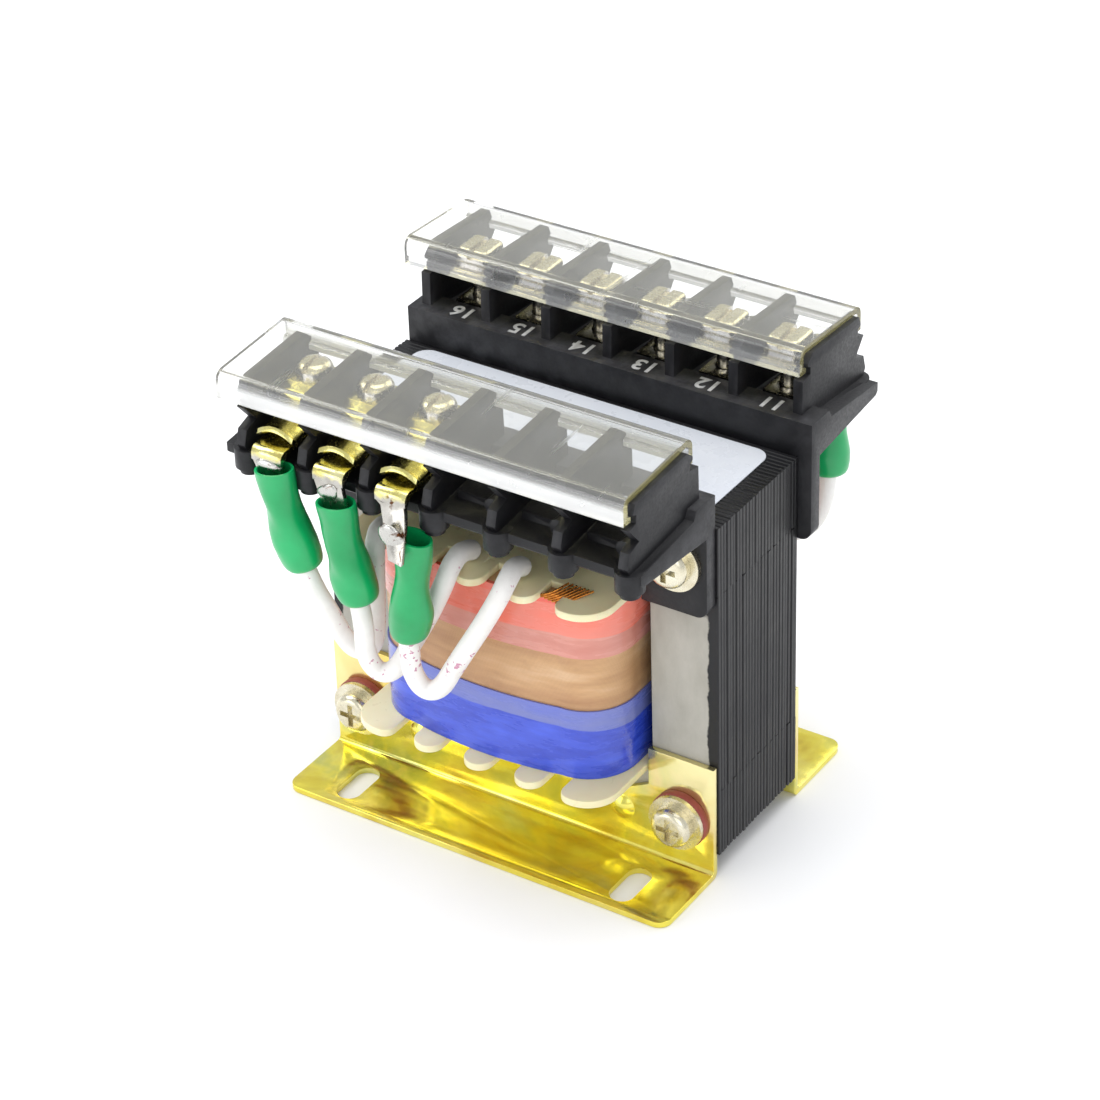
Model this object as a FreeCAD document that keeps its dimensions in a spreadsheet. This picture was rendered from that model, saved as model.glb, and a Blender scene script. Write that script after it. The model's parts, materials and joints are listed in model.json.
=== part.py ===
# Step-down control transformer: an interleaved EI core in two L brackets,
# a two-winding coil on a moulded bobbin, and a six-way terminal block under a
# clear clip-on cover on each side of the core.
# Frame: X points to the front (the side with the lead-out wires), Y to the
# right, Z up. The origin is the middle of the four mounting slots, on the
# underside of the feet.
import FreeCAD, Part
import math
import os

import Sketcher

V = FreeCAD.Vector
doc = FreeCAD.newDocument("StepDownTransformer")

# sizes (mm)
SIZES = [
    # core
    ("core_width", 84.0), ("core_height", 70.0), ("core_stack", 28.0),
    ("tongue_width", 28.0), ("leg_width", 14.0), ("yoke_height", 14.0),
    ("pack_count", 14), ("pack_gap", 0.06), ("core_lift", 4.8),
    ("bolt_inset", 7.0), ("core_hole", 4.6), ("joint_gap", 0.04),
    # brackets
    ("bracket_sheet", 1.2), ("web_inset", 0.25), ("seat_gap", 0.05),
    ("ear_top", 24.4), ("notch_floor", 14.0), ("notch_rise", 2.4),
    ("foot_reach", 18.6), ("foot_corner", 2.6), ("bend_radius", 1.3),
    ("slot_spacing_depth", 51.0), ("slot_spacing_width", 60.5),
    ("slot_length", 10.4), ("slot_width", 4.8),
    ("web_hole", 5.3), ("web_hole_offset", 22.2), ("web_hole_height", 9.4),
    # core bolts
    ("bolt_shank", 4.0), ("bolt_head", 8.0), ("bolt_head_height", 2.6),
    ("driver_slot", 1.1), ("driver_depth", 1.3), ("driver_cross", 4.8),
    ("washer_outer", 11.0), ("washer_bore", 4.3), ("washer_thick", 1.0),
    ("fibre_outer", 12.2), ("fibre_thick", 1.5),
    ("nut_flats", 7.0), ("nut_height", 3.2), ("bolt_tail", 1.8),
    ("contact_gap", 0.02), ("thread_gap", 0.06),
    # bobbin
    ("bobbin_gap", 0.25), ("tube_wall", 1.5), ("flange_thick", 1.6),
    ("flange_reach", 31.0), ("flange_side_gap", 0.4), ("window_gap", 0.2),
    ("finger_width", 5.8), ("finger_pitch", 11.0), ("finger_depth", 7.5),
    ("corner_width", 9.3), ("corner_round", 6.4), ("corner_ease", 2.4), ("finger_rib", 1.5),
    ("rib_height", 1.6),
    # coil
    ("inner_winding_build", 3.4), ("insulation_thick", 0.5),
    ("coil_front", 26.9), ("coil_side_gap", 2.4), ("coil_crown", 1.6),
    ("coil_round", 9.5), ("tape_thick", 0.35),
    ("layer_gap", 0.08), ("red_tape_width", 12.2), ("blue_tape_width", 14.7),
    ("red_turn_width", 6.2),
    # terminal blocks
    ("block_inset", 0.4), ("far_ledge", 5.25),
    ("ear_thick", 2.9), ("ear_over_leg", 0.3), ("ear_drop", 20.0),
    ("ear_round", 2.2), ("stop_round", 3.2), ("stop_length", 5.4),
    ("stop_sink", 1.2), ("stop_back", 7.2),
    ("base_bottom", 74.3), ("ledge_top", 81.8), ("ledge_depth", 6.2),
    ("deck_edge_top", 78.6), ("deck_edge_bottom", 76.2), ("deck_reach", 24.0),
    ("barrier_pitch", 13.2), ("barrier_thick", 1.9), ("end_ledge", 1.75),
    ("barrier_inset", 2.2), ("barrier_reach", 23.2), ("foot_knob", 5.3),
    ("knob_bottom", 73.7),
    ("pad_top", 80.6), ("pad_width", 8.6), ("pad_length", 13.0),
    ("screw_line", 11.2), ("nut_square", 6.6), ("nut_thick", 2.6),
    ("nut_play", 0.15),
    # terminal hardware
    ("contact_thick", 1.0), ("clamp_width", 7.6), ("clamp_thick", 1.0),
    ("clamp_back", 3.9), 
    ("screw_shank", 3.4), ("screw_head", 6.8),
    ("screw_head_height", 2.9), ("screw_top", 91.4), ("contact_width", 6.4),
    ("tag_width", 5.8), ("tag_end", 4.6), ("tag_shoulder", 1.6),
    ("lug_stand", 1.9), ("tongue_reach", 0.2), ("tongue_rise", 1.0),
    ("tag_low_1", 75.6), ("tag_low_2", 71.6), ("tag_low_3", 68.6),
    ("tag_low_b", 67.0), ("tag_lean_1", 1.0), ("tag_lean_2", 1.8), ("tag_lean_3", 1.7),
    # clear covers
    ("cover_inner", 16.9), ("cover_depth", 22.0), ("cover_top", 94.2),
    ("cover_fall", 1.0), ("cover_wall", 1.3), ("cover_lip", 5.3),
    ("cover_hook", 0.9), ("cover_length", 84.1), ("cover_bend", 2.0),
    ("cover_gap", 0.15), ("front_cover_inset", 2.7),
    ("back_cover_over", 2.1),
    # label and wires
    ("label_thick", 0.15), ("label_width", 75.0), ("label_depth", 25.0),
    ("label_corner", 3.0), ("sleeving", 3.7), ("sleeve_wide", 8.2),
    ("sleeve_deep", 4.8), ("sleeve_waist", 6.9), ("sleeve_bulge", 9.8),
    ("sleeve_round", 5.6), ("sleeve_wall", 0.5),
]
sheet = doc.addObject("Spreadsheet::Sheet", "Params")
for row, (alias, number) in enumerate(SIZES, start=1):
    sheet.set("A%d" % row, alias)
    sheet.set("B%d" % row, str(number))
    sheet.setAlias("B%d" % row, alias)
doc.recompute()


class Size:
    """A length that carries its number and the sheet expression behind it."""

    def __init__(self, number, text=None):
        self.number = float(number)
        self.text = text if text is not None else repr(float(number))

    def __add__(self, other):
        other = size(other)
        return Size(self.number + other.number, "(%s + %s)" % (self.text, other.text))

    def __sub__(self, other):
        other = size(other)
        return Size(self.number - other.number, "(%s - %s)" % (self.text, other.text))

    def __mul__(self, other):
        other = size(other)
        return Size(self.number * other.number, "(%s * %s)" % (self.text, other.text))

    def __truediv__(self, other):
        other = size(other)
        return Size(self.number / other.number, "(%s / %s)" % (self.text, other.text))

    def __radd__(self, other):
        return size(other) + self

    def __rsub__(self, other):
        return size(other) - self

    def __rmul__(self, other):
        return size(other) * self

    def __neg__(self):
        return Size(-self.number, "(-1 * %s)" % self.text)


def size(value):
    return value if isinstance(value, Size) else Size(value)


class Named:
    """Gives each cell of the sheet as a Size, by its alias."""

    def __getattr__(self, alias):
        return Size(getattr(sheet, alias), "Params.%s" % alias)


P = Named()


def bind(obj, prop, value):
    value = size(value)
    if "Params." in value.text:
        obj.setExpression(prop, value.text)
    return value.number


# helpers
def new_body(label):
    body = doc.addObject("PartDesign::Body", label)
    body.Label = label
    if "AllowCompound" in body.PropertiesList:
        body.AllowCompound = True
    return body


def at_y(y):
    """Offset along the XZ plane's normal, which points to -Y, for a level y."""
    return -size(y)


def plane_of(body, role):
    return [f for f in body.Origin.OriginFeatures if f.Role == role][0]


def new_sketch(body, name, role, offset=0.0):
    """A sketch on an origin plane; offset runs along the plane's normal."""
    sk = body.newObject("Sketcher::SketchObject", name)
    sk.AttachmentSupport = [(plane_of(body, role), "")]
    sk.MapMode = "FlatFace"
    sk.AttachmentOffset = FreeCAD.Placement(V(0, 0, size(offset).number), FreeCAD.Rotation())
    bind(sk, "AttachmentOffset.Base.z", offset)
    return sk


def pin(sk, geo, end, x, y):
    """Holds a sketch point at x, y with constraints bound to the sheet."""
    for kind, value in (("DistanceX", size(x)), ("DistanceY", size(y))):
        index = sk.addConstraint(Sketcher.Constraint(kind, -1, 1, geo, end, value.number))
        if "Params." in value.text:
            sk.setExpression("Constraints[%d]" % index, value.text)


def outline(sk, points, arcs=None):
    """A closed counter-clockwise outline through points. arcs = {side: (x, y)}
    makes that side an arc about the centre x, y that bulges outward; a third
    item, False, makes it bulge inward."""
    arcs = arcs or {}
    pts = [(size(x), size(y)) for x, y in points]
    geos, ends = [], []
    for i, (x0, y0) in enumerate(pts):
        x1, y1 = pts[(i + 1) % len(pts)]
        a = V(x0.number, y0.number, 0)
        b = V(x1.number, y1.number, 0)
        if i in arcs:
            mid = V(size(arcs[i][0]).number, size(arcs[i][1]).number, 0)
            way = (b - a).normalize()
            out = V(way.y, -way.x, 0)
            if len(arcs[i]) > 2:
                out = -out
            tip = mid + out * (a - mid).Length
            geos.append(sk.addGeometry(Part.Arc(a, tip, b), False))
        else:
            geos.append(sk.addGeometry(Part.LineSegment(a, b), False))
        first = sk.getPoint(geos[-1], 1)
        ends.append((1, 2) if (first - a).Length < 1e-5 else (2, 1))
    for i, geo in enumerate(geos):
        j = (i + 1) % len(geos)
        sk.addConstraint(Sketcher.Constraint("Coincident", geo, ends[i][1], geos[j], ends[j][0]))
    for i, geo in enumerate(geos):
        pin(sk, geo, ends[i][0], pts[i][0], pts[i][1])
    for i in arcs:
        x0, y0 = pts[i]
        x1, y1 = pts[(i + 1) % len(pts)]
        level = abs(x1.number - x0.number) > abs(y1.number - y0.number)
        value = size(arcs[i][1]) if level else size(arcs[i][0])
        kind = "DistanceY" if level else "DistanceX"
        index = sk.addConstraint(Sketcher.Constraint(kind, -1, 1, geos[i], 3, value.number))
        if "Params." in value.text:
            sk.setExpression("Constraints[%d]" % index, value.text)


def rectangle(sk, x0, y0, x1, y1):
    outline(sk, [(x0, y0), (x1, y0), (x1, y1), (x0, y1)])


def circle(sk, x, y, diameter):
    x, y, diameter = size(x), size(y), size(diameter)
    geo = sk.addGeometry(Part.Circle(V(x.number, y.number, 0), V(0, 0, 1), diameter.number / 2), False)
    pin(sk, geo, 3, x, y)
    index = sk.addConstraint(Sketcher.Constraint("Diameter", geo, diameter.number))
    if "Params." in diameter.text:
        sk.setExpression("Constraints[%d]" % index, diameter.text)


def slot(sk, x, y, length, width):
    """A round-ended slot along the sketch's X, centred on x, y."""
    x, y, length, width = size(x), size(y), size(length), size(width)
    half = (length - width) / 2
    r = width / 2
    outline(sk, [(x - half, y - r), (x + half, y - r), (x + half, y + r), (x - half, y + r)],
            {1: (x + half, y), 3: (x - half, y)})


def round_rectangle(sk, half_x, half_y, r):
    """A rectangle about the sketch origin with rounded corners."""
    half_x, half_y, r = size(half_x), size(half_y), size(r)
    cx, cy = half_x - r, half_y - r
    outline(sk, [(cx, -half_y), (half_x, -cy), (half_x, cy), (cx, half_y),
                 (-cx, half_y), (-half_x, cy), (-half_x, -cy), (-cx, -half_y)],
            {0: (cx, -cy), 2: (cx, cy), 4: (-cx, cy), 6: (-cx, -cy)})


def pad(body, name, sk, length, reverse=False, midplane=False):
    feat = body.newObject("PartDesign::Pad", name)
    feat.Profile = sk
    feat.Length = size(length).number
    bind(feat, "Length", length)
    feat.Reversed = reverse
    if midplane:
        feat.Midplane = True
    return feat


def pocket(body, name, sk, length, reverse=False, midplane=False):
    """Cuts a pocket and makes sure that it took something away."""
    doc.recompute()
    before = body.Shape.Volume
    feat = body.newObject("PartDesign::Pocket", name)
    feat.Profile = sk
    feat.Length = size(length).number
    bind(feat, "Length", length)
    feat.Reversed = reverse
    if midplane:
        feat.Midplane = True
    doc.recompute()
    if feat.Shape.Volume > before - 1e-6:
        raise RuntimeError("%s.%s cuts nothing" % (body.Label, name))
    return feat


def along(body, name, originals, axis_role, length, count, reverse=False):
    """A row of copies of some features along an origin axis."""
    feat = body.newObject("PartDesign::LinearPattern", name)
    feat.Originals = originals
    feat.Direction = (plane_of(body, axis_role), [""])
    feat.Length = size(length).number
    bind(feat, "Length", length)
    feat.Occurrences = int(count)
    feat.Reversed = reverse
    body.Tip = feat
    return feat


def soften(body, name, test, radius):
    """Rounds the edges of the body so far that pass the test."""
    doc.recompute()
    edges = ["Edge%d" % (i + 1) for i, e in enumerate(body.Shape.Edges) if test(e)]
    if not edges:
        raise RuntimeError("%s.%s finds no edge" % (body.Label, name))
    base = body.Tip
    feat = body.newObject("PartDesign::Fillet", name)
    feat.Base = (base, edges)
    feat.Radius = size(radius).number
    bind(feat, "Radius", radius)
    return feat


def upright(e):
    """True for an edge that runs along Z."""
    a, b = e.Vertexes[0].Point, e.Vertexes[-1].Point
    return len(e.Vertexes) == 2 and abs(a.x - b.x) < 1e-6 and abs(a.y - b.y) < 1e-6


def crossways(e):
    """True for an edge that runs along Y."""
    a, b = e.Vertexes[0].Point, e.Vertexes[-1].Point
    return len(e.Vertexes) == 2 and abs(a.x - b.x) < 1e-6 and abs(a.z - b.z) < 1e-6


def turned(body):
    """Turns a piece made for the front so that it serves the back."""
    body.Placement = FreeCAD.Placement(V(0, 0, 0), FreeCAD.Rotation(V(0, 0, 1), 180))
    return body


NODES = []


def keep(obj):
    NODES.append(obj)
    return obj


# shared key positions
half_stack = P.core_stack / 2
half_width = P.core_width / 2
core_top = P.core_lift + P.core_height
window_bottom = P.core_lift + P.yoke_height
window_top = core_top - P.yoke_height
half_tongue = P.tongue_width / 2
window_side = half_width - P.leg_width
bolt_y = half_width - P.bolt_inset
bolt_low = P.core_lift + P.bolt_inset
bolt_high = core_top - P.bolt_inset
core_face = half_stack + P.seat_gap
web_face = core_face + P.bracket_sheet


# core laminations
# Packs of sheets turned about in pairs: each E pack has its I pack at the open
# end, and the joint moves from bottom to top from one pack to the next.
pack = P.core_stack / P.pack_count
pairs = int(round(sheet.pack_count / 2))
plate = pack - P.pack_gap


def e_outline(sk, up):
    """The E sheet; its back is the top yoke when up is true."""
    if up:
        back, tips, inner = core_top, P.core_lift + P.yoke_height + P.joint_gap, window_top
    else:
        back, tips, inner = P.core_lift, core_top - P.yoke_height - P.joint_gap, window_bottom
    outline(sk, [
        (-half_width, back), (half_width, back), (half_width, tips), (window_side, tips),
        (window_side, inner), (half_tongue, inner), (half_tongue, tips), (-half_tongue, tips),
        (-half_tongue, inner), (-window_side, inner), (-window_side, tips), (-half_width, tips)])
    z = bolt_high if up else bolt_low
    circle(sk, bolt_y, z, P.core_hole)
    circle(sk, -bolt_y, z, P.core_hole)


def i_outline(sk, up):
    """The I sheet that closes an E sheet; it lies at the top when up is true."""
    near = core_top if up else P.core_lift
    far = (core_top - P.yoke_height) if up else (P.core_lift + P.yoke_height)
    rectangle(sk, -half_width, near, half_width, far)
    z = bolt_high if up else bolt_low
    circle(sk, bolt_y, z, P.core_hole)
    circle(sk, -bolt_y, z, P.core_hole)


def pack_rows(label, draw):
    body = new_body(label)
    originals = []
    for first, up in ((0, draw is e_outline), (1, draw is not e_outline)):
        start = -half_stack + first * pack + P.pack_gap / 2
        sk = new_sketch(body, "Sheet%d" % first, "YZ_Plane", start)
        draw(sk, up)
        doc.recompute()
        feat = pad(body, "Pack%d" % first, sk, plate)
        doc.recompute()
        row_feat = along(body, "Row%d" % first, [feat], "X_Axis",
                         pack * 2 * (pairs - 1), pairs)
        doc.recompute()
        originals.append(row_feat)
    return keep(body)


pack_rows("e_laminations", e_outline)
pack_rows("i_laminations", i_outline)


# mounting brackets
def bracket(label):
    """An L of folded sheet: two ears up the legs, a recess for the coil, and a
    foot with two slots that run in and out of the core."""
    body = new_body(label)
    side = half_width - P.web_inset
    sk = new_sketch(body, "WebOutline", "YZ_Plane", core_face)
    outline(sk, [
        (-side, 0), (side, 0), (side, P.ear_top), (window_side, P.ear_top),
        (window_side, P.notch_floor + P.notch_rise),
        (window_side - P.notch_rise * 2, P.notch_floor),
        (-window_side + P.notch_rise * 2, P.notch_floor),
        (-window_side, P.notch_floor + P.notch_rise),
        (-window_side, P.ear_top), (-side, P.ear_top)])
    pad(body, "Web", sk, P.bracket_sheet)
    sk = new_sketch(body, "FootOutline", "XY_Plane")
    rectangle(sk, core_face, -side, half_stack + P.foot_reach, side)
    pad(body, "Foot", sk, P.bracket_sheet)
    edge = (half_stack + P.foot_reach).number
    soften(body, "FootCorners", lambda e: upright(e) and abs(e.Vertexes[0].X - edge) < 1e-4,
           P.foot_corner)
    outer = core_face.number
    soften(body, "FoldOutside", lambda e: crossways(e) and abs(e.Vertexes[0].X - outer) < 1e-4
           and abs(e.Vertexes[0].Z) < 1e-4, P.bend_radius)
    inner = web_face.number
    sheet_top = size(P.bracket_sheet).number
    soften(body, "FoldInside", lambda e: crossways(e) and abs(e.Vertexes[0].X - inner) < 1e-4
           and abs(e.Vertexes[0].Z - sheet_top) < 1e-4, P.bend_radius - 0.4)
    sk = new_sketch(body, "SlotOutline", "XY_Plane")
    for s in (1, -1):
        slot(sk, P.slot_spacing_depth / 2, P.slot_spacing_width / 2 * s, P.slot_length, P.slot_width)
    pocket(body, "Slots", sk, P.bracket_sheet * 3, midplane=True)
    sk = new_sketch(body, "WebHoles", "YZ_Plane", core_face)
    for s in (1, -1):
        circle(sk, bolt_y * s, bolt_low, P.core_hole)
        circle(sk, P.web_hole_offset * s, P.web_hole_height, P.web_hole)
    pocket(body, "Holes", sk, P.bracket_sheet * 3, midplane=True)
    return body


keep(bracket("front_bracket"))
keep(turned(bracket("back_bracket")))


# bobbin
bobbin_bottom = window_bottom + P.window_gap
bobbin_top = window_top - P.window_gap
tube_in = half_tongue + P.bobbin_gap
tube_in_depth = half_stack + P.bobbin_gap
tube_out = tube_in + P.tube_wall
tube_out_depth = tube_in_depth + P.tube_wall
flange_side = window_side - P.flange_side_gap
coil_side = window_side - P.coil_side_gap


def flange_outline(sk):
    """One flange: it fits between the legs and spreads outside the core into
    a corner tab at each end and round-ended fingers with wire slots between."""
    reach = P.flange_reach
    root = reach - P.finger_depth
    half_finger = P.finger_width / 2
    corner = flange_side - P.corner_width
    r = P.corner_round
    pts, arcs = [], {}
    for s in (1, -1):
        q = P.corner_ease
        side = [(reach - r, -flange_side), (reach, -flange_side + r),
                (reach, -corner - q), (reach - q, -corner), (root, -corner)]
        arcs[len(pts)] = ((reach - r) * s, (-flange_side + r) * s)
        arcs[len(pts) + 2] = ((reach - q) * s, (-corner - q) * s)
        for k in (-1, 0, 1):
            centre = P.finger_pitch * k
            arcs[len(pts) + len(side) + 1] = ((reach - half_finger) * s, centre * s)
            side += [(root, centre - half_finger), (reach - half_finger, centre - half_finger),
                     (reach - half_finger, centre + half_finger), (root, centre + half_finger)]
        side += [(root, corner), (reach - q, corner), (reach, corner + q),
                 (reach, flange_side - r), (reach - r, flange_side)]
        arcs[len(pts) + len(side) - 4] = ((reach - q) * s, (corner + q) * s)
        arcs[len(pts) + len(side) - 2] = ((reach - r) * s, (flange_side - r) * s)
        pts += [(size(x) * s, size(y) * s) for x, y in side]
    outline(sk, pts, arcs)


body = new_body("coil_bobbin")
sk = new_sketch(body, "TubeOutline", "XY_Plane", bobbin_bottom)
rectangle(sk, -tube_out_depth, -tube_out, tube_out_depth, tube_out)
pad(body, "Tube", sk, bobbin_top - bobbin_bottom)
for name, level in (("Lower", bobbin_bottom), ("Upper", bobbin_top - P.flange_thick)):
    sk = new_sketch(body, name + "FlangeOutline", "XY_Plane", level)
    flange_outline(sk)
    pad(body, name + "Flange", sk, P.flange_thick)
rib_outline = [(half_stack + 2, bobbin_top - 0.3), (P.flange_reach - 3.5, bobbin_top - 0.3),
               (half_stack + 2, bobbin_top + P.rib_height)]
sk = new_sketch(body, "RibOutline", "XZ_Plane", P.finger_rib / -2)
outline(sk, rib_outline)
rib = pad(body, "FingerRib", sk, P.finger_rib)
doc.recompute()
doc.recompute()
doc.recompute()
sk = new_sketch(body, "BoreOutline", "XY_Plane", bobbin_top + P.rib_height)
rectangle(sk, -tube_in_depth, -tube_in, tube_in_depth, tube_in)
pocket(body, "TongueBore", sk, bobbin_top - bobbin_bottom + P.rib_height * 2)
keep(body)


# coil
coil_bottom = bobbin_bottom + P.flange_thick + P.layer_gap
coil_top = bobbin_top - P.flange_thick - P.layer_gap
inner_x = tube_out_depth + P.layer_gap
inner_y = tube_out + P.layer_gap


def ring(label, bottom, height, x0, y0, build, r0):
    """A layer of the coil that is wound close on the one inside it."""
    body = new_body(label)
    sk = new_sketch(body, "LayerOutline", "XY_Plane", bottom)
    round_rectangle(sk, x0 + build, y0 + build, size(r0) + build)
    round_rectangle(sk, x0, y0, r0)
    pad(body, "Layer", sk, height)
    return keep(body)


def coil_contour(sk, grow):
    """The bulged outer contour of the coil, grown outward by a wrap."""
    grow = size(grow)
    face = P.coil_front - P.coil_crown + grow
    flank = coil_side + grow
    r = P.coil_round + grow
    run = flank - r
    big = (run * run + P.coil_crown * P.coil_crown) / (P.coil_crown * 2)
    hub = face + P.coil_crown - big
    outline(sk, [(face, -run), (face, run), (face - r, flank), (r - face, flank),
                 (-face, run), (-face, -run), (r - face, -flank), (face - r, -flank)],
            {0: (hub, 0), 1: (face - r, run), 3: (r - face, run),
             4: (-hub, 0), 5: (r - face, -run), 7: (face - r, -run)})


coil_height = coil_top - coil_bottom
bend = size(0.2)
ring("inner_winding", coil_bottom, coil_height, inner_x, inner_y, P.inner_winding_build, bend)
bend = bend + P.inner_winding_build + P.layer_gap
ins_x = inner_x + P.inner_winding_build + P.layer_gap
ins_y = inner_y + P.inner_winding_build + P.layer_gap
ring("winding_insulation", coil_bottom, coil_height, ins_x, ins_y, P.insulation_thick, bend)
bend = bend + P.insulation_thick + P.layer_gap
out_x = ins_x + P.insulation_thick + P.layer_gap
out_y = ins_y + P.insulation_thick + P.layer_gap

body = new_body("outer_winding")
sk = new_sketch(body, "WindingOutline", "XY_Plane", coil_bottom)
coil_contour(sk, 0)
round_rectangle(sk, out_x, out_y, bend)
pad(body, "Winding", sk, coil_height)
keep(body)


def band(label, bottom, height, inside, thick):
    """Tape wound round the outside of the coil."""
    body = new_body(label)
    sk = new_sketch(body, "TapeOutline", "XY_Plane", bottom)
    coil_contour(sk, size(inside) + thick)
    coil_contour(sk, inside)
    pad(body, "Tape", sk, height)
    return keep(body)


band("red_tape_band", coil_top - P.red_tape_width, P.red_tape_width, P.seat_gap, P.tape_thick)
band("blue_tape_band", coil_bottom, P.blue_tape_width, P.seat_gap, P.tape_thick)
band("red_tape_end_turn", coil_top - P.red_turn_width, P.red_turn_width,
     P.seat_gap * 2 + P.tape_thick, P.tape_thick)


# terminal blocks
base_edge = core_face + P.deck_reach
ledge_edge = core_face + P.ledge_depth
block_right = half_width - P.block_inset
first_barrier = block_right - P.end_ledge
last_barrier = first_barrier - P.barrier_pitch * 6
block_left = last_barrier - P.far_ledge
block_width = block_right - block_left
barrier_start = core_face + P.barrier_inset
barrier_nose = core_face + P.barrier_reach
first_cell = first_barrier - P.barrier_thick / 2 - P.barrier_pitch / 2
screw_x = core_face + P.screw_line
cover_in_back = P.cover_inner + P.cover_wall
cover_in_front = P.cover_inner + P.cover_depth - P.cover_wall
hook_back = cover_in_back + P.cover_hook + P.cover_gap
hook_front = cover_in_front - P.cover_hook - P.cover_gap
lip_back = P.cover_top - P.cover_lip
lip_front = P.cover_top - P.cover_fall - P.cover_lip
roof_back = P.cover_top - P.cover_wall - P.cover_gap * 2
roof_front = roof_back - P.cover_fall


def barrier_outline(sk):
    """The side of one barrier: it is stepped so that the cover's hooks snap
    under its two shoulders, and ends in a nose and a round foot."""
    outline(sk, [
        (barrier_start, P.base_bottom + 2), (knob_x, P.base_bottom + 2),
        (knob_x + 2.2, P.deck_edge_top + 1.4), (knob_x + 1.4, P.deck_edge_top + 4.2),
        (barrier_nose - 1.6, P.deck_edge_top + 5.2), (barrier_nose + 1.3, lip_front - 0.7),
        (hook_front, lip_front - P.cover_gap), (hook_front - 0.2, lip_front + P.cover_hook + 0.5),
        (cover_in_front - P.cover_gap, lip_front + P.cover_hook + 1.0),
        (cover_in_front - P.cover_gap - 0.7, roof_front),
        (hook_back + 0.8, roof_back), (cover_in_back + P.cover_gap, roof_back - 1.4),
        (cover_in_back + P.cover_gap, lip_back + P.cover_hook + 0.8),
        (hook_back, lip_back + P.cover_hook + 0.3), (hook_back, lip_back - P.cover_gap),
        (barrier_start + 0.3, lip_back - P.cover_gap - 0.4)])


knob_x = barrier_nose


def terminal_block(label, open_cells):
    body = new_body(label)
    sk = new_sketch(body, "BaseOutline", "XZ_Plane", at_y(block_right))
    outline(sk, [
        (core_face, P.base_bottom), (core_face + 3, P.base_bottom),
        (base_edge - 0.6, P.deck_edge_bottom), (base_edge, P.deck_edge_bottom + 0.6),
        (base_edge, P.deck_edge_top), (ledge_edge + 0.8, P.pad_top - 0.4),
        (ledge_edge, P.ledge_top), (core_face, P.ledge_top)])
    pad(body, "Base", sk, block_width)
    sk = new_sketch(body, "EarOutline", "YZ_Plane", core_face)
    low = P.base_bottom - P.ear_drop
    rr = P.ear_round
    for s, end in ((1, block_right), (-1, -block_left)):
        near = window_side + P.ear_over_leg
        pts = [(near * s, P.base_bottom + 1), (near * s, low), ((end - rr) * s, low),
               (end * s, low + rr), (end * s, P.base_bottom + 1)]
        arc_side, centre = 2, ((end - rr) * s, low + rr)
        if s < 0:
            pts = pts[::-1]
            arc_side = 1
        outline(sk, pts, {arc_side: centre})
    pad(body, "Ears", sk, P.ear_thick)
    doc.recompute()
    sk = new_sketch(body, "BarrierOutline", "XZ_Plane", at_y(first_barrier))
    barrier_outline(sk)
    barrier = pad(body, "Barrier", sk, P.barrier_thick)
    doc.recompute()
    row = along(body, "Barriers", [barrier], "Y_Axis", P.barrier_pitch * 6, 7, reverse=True)
    doc.recompute()
    # round feet at the barrier noses
    sk = new_sketch(body, "FootOutline", "XY_Plane", P.knob_bottom + 1.2)
    circle(sk, knob_x, first_barrier - P.barrier_thick / 2, P.foot_knob)
    foot = pad(body, "NoseFoot", sk, P.deck_edge_top - P.knob_bottom - 1.0)
    sk = new_sketch(body, "FootTipOutline", "XY_Plane", P.knob_bottom)
    circle(sk, knob_x, first_barrier - P.barrier_thick / 2, P.foot_knob - 1.6)
    tip = pad(body, "NoseFootTip", sk, 1.2)
    doc.recompute()
    row = along(body, "NoseFeet", [foot, tip], "Y_Axis", P.barrier_pitch * 6, 7, reverse=True)
    doc.recompute()
    # raised seats for the contacts, bored for the screws, with nut pockets below
    sk = new_sketch(body, "SeatOutline", "XY_Plane", P.deck_edge_bottom + 1)
    rectangle(sk, ledge_edge - 0.5, first_cell - P.pad_width / 2,
              ledge_edge + P.pad_length, first_cell + P.pad_width / 2)
    seat = pad(body, "Seat", sk, P.pad_top - P.deck_edge_bottom - 1)
    doc.recompute()
    row = along(body, "Seats", [seat], "Y_Axis", P.barrier_pitch * 5, 6, reverse=True)
    doc.recompute()
    sk = new_sketch(body, "ScrewBoreOutline", "XY_Plane", P.pad_top + 1)
    circle(sk, screw_x, first_cell, P.screw_shank + 0.4)
    bore = pocket(body, "ScrewBore", sk, P.pad_top - P.base_bottom + 3)
    sk = new_sketch(body, "NutPocketOutline", "XY_Plane", P.base_bottom - 1)
    half = P.nut_square / 2 + P.nut_play
    rectangle(sk, screw_x - half, first_cell - half, screw_x + half, first_cell + half)
    hole = pocket(body, "NutPocket", sk, P.nut_thick + P.nut_play + 1.4, reverse=True)
    row = along(body, "ScrewBores", [bore, hole], "Y_Axis", P.barrier_pitch * 5, 6, reverse=True)
    doc.recompute()
    sk = new_sketch(body, "EarHoles", "YZ_Plane", core_face)
    for s in (1, -1):
        circle(sk, bolt_y * s, bolt_high, P.core_hole)
    pocket(body, "BoltHoles", sk, P.ear_thick * 3, midplane=True)
    if open_cells:
        # round stops that close off the unused cells
        sk = new_sketch(body, "StopOutline", "YZ_Plane", barrier_nose - P.stop_back)
        circle(sk, first_barrier - P.barrier_thick - P.stop_round / 2 + 0.3,
               P.pad_top + P.stop_round / 2 - P.stop_sink, P.stop_round)
        stop = pad(body, "Stop", sk, P.stop_length)
        doc.recompute()
        along(body, "Stops", [stop], "Y_Axis", P.barrier_pitch * (open_cells - 1),
              open_cells, reverse=True)
    return body


keep(terminal_block("front_terminal_block", 3))
keep(turned(terminal_block("back_terminal_block", 0)))


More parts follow.
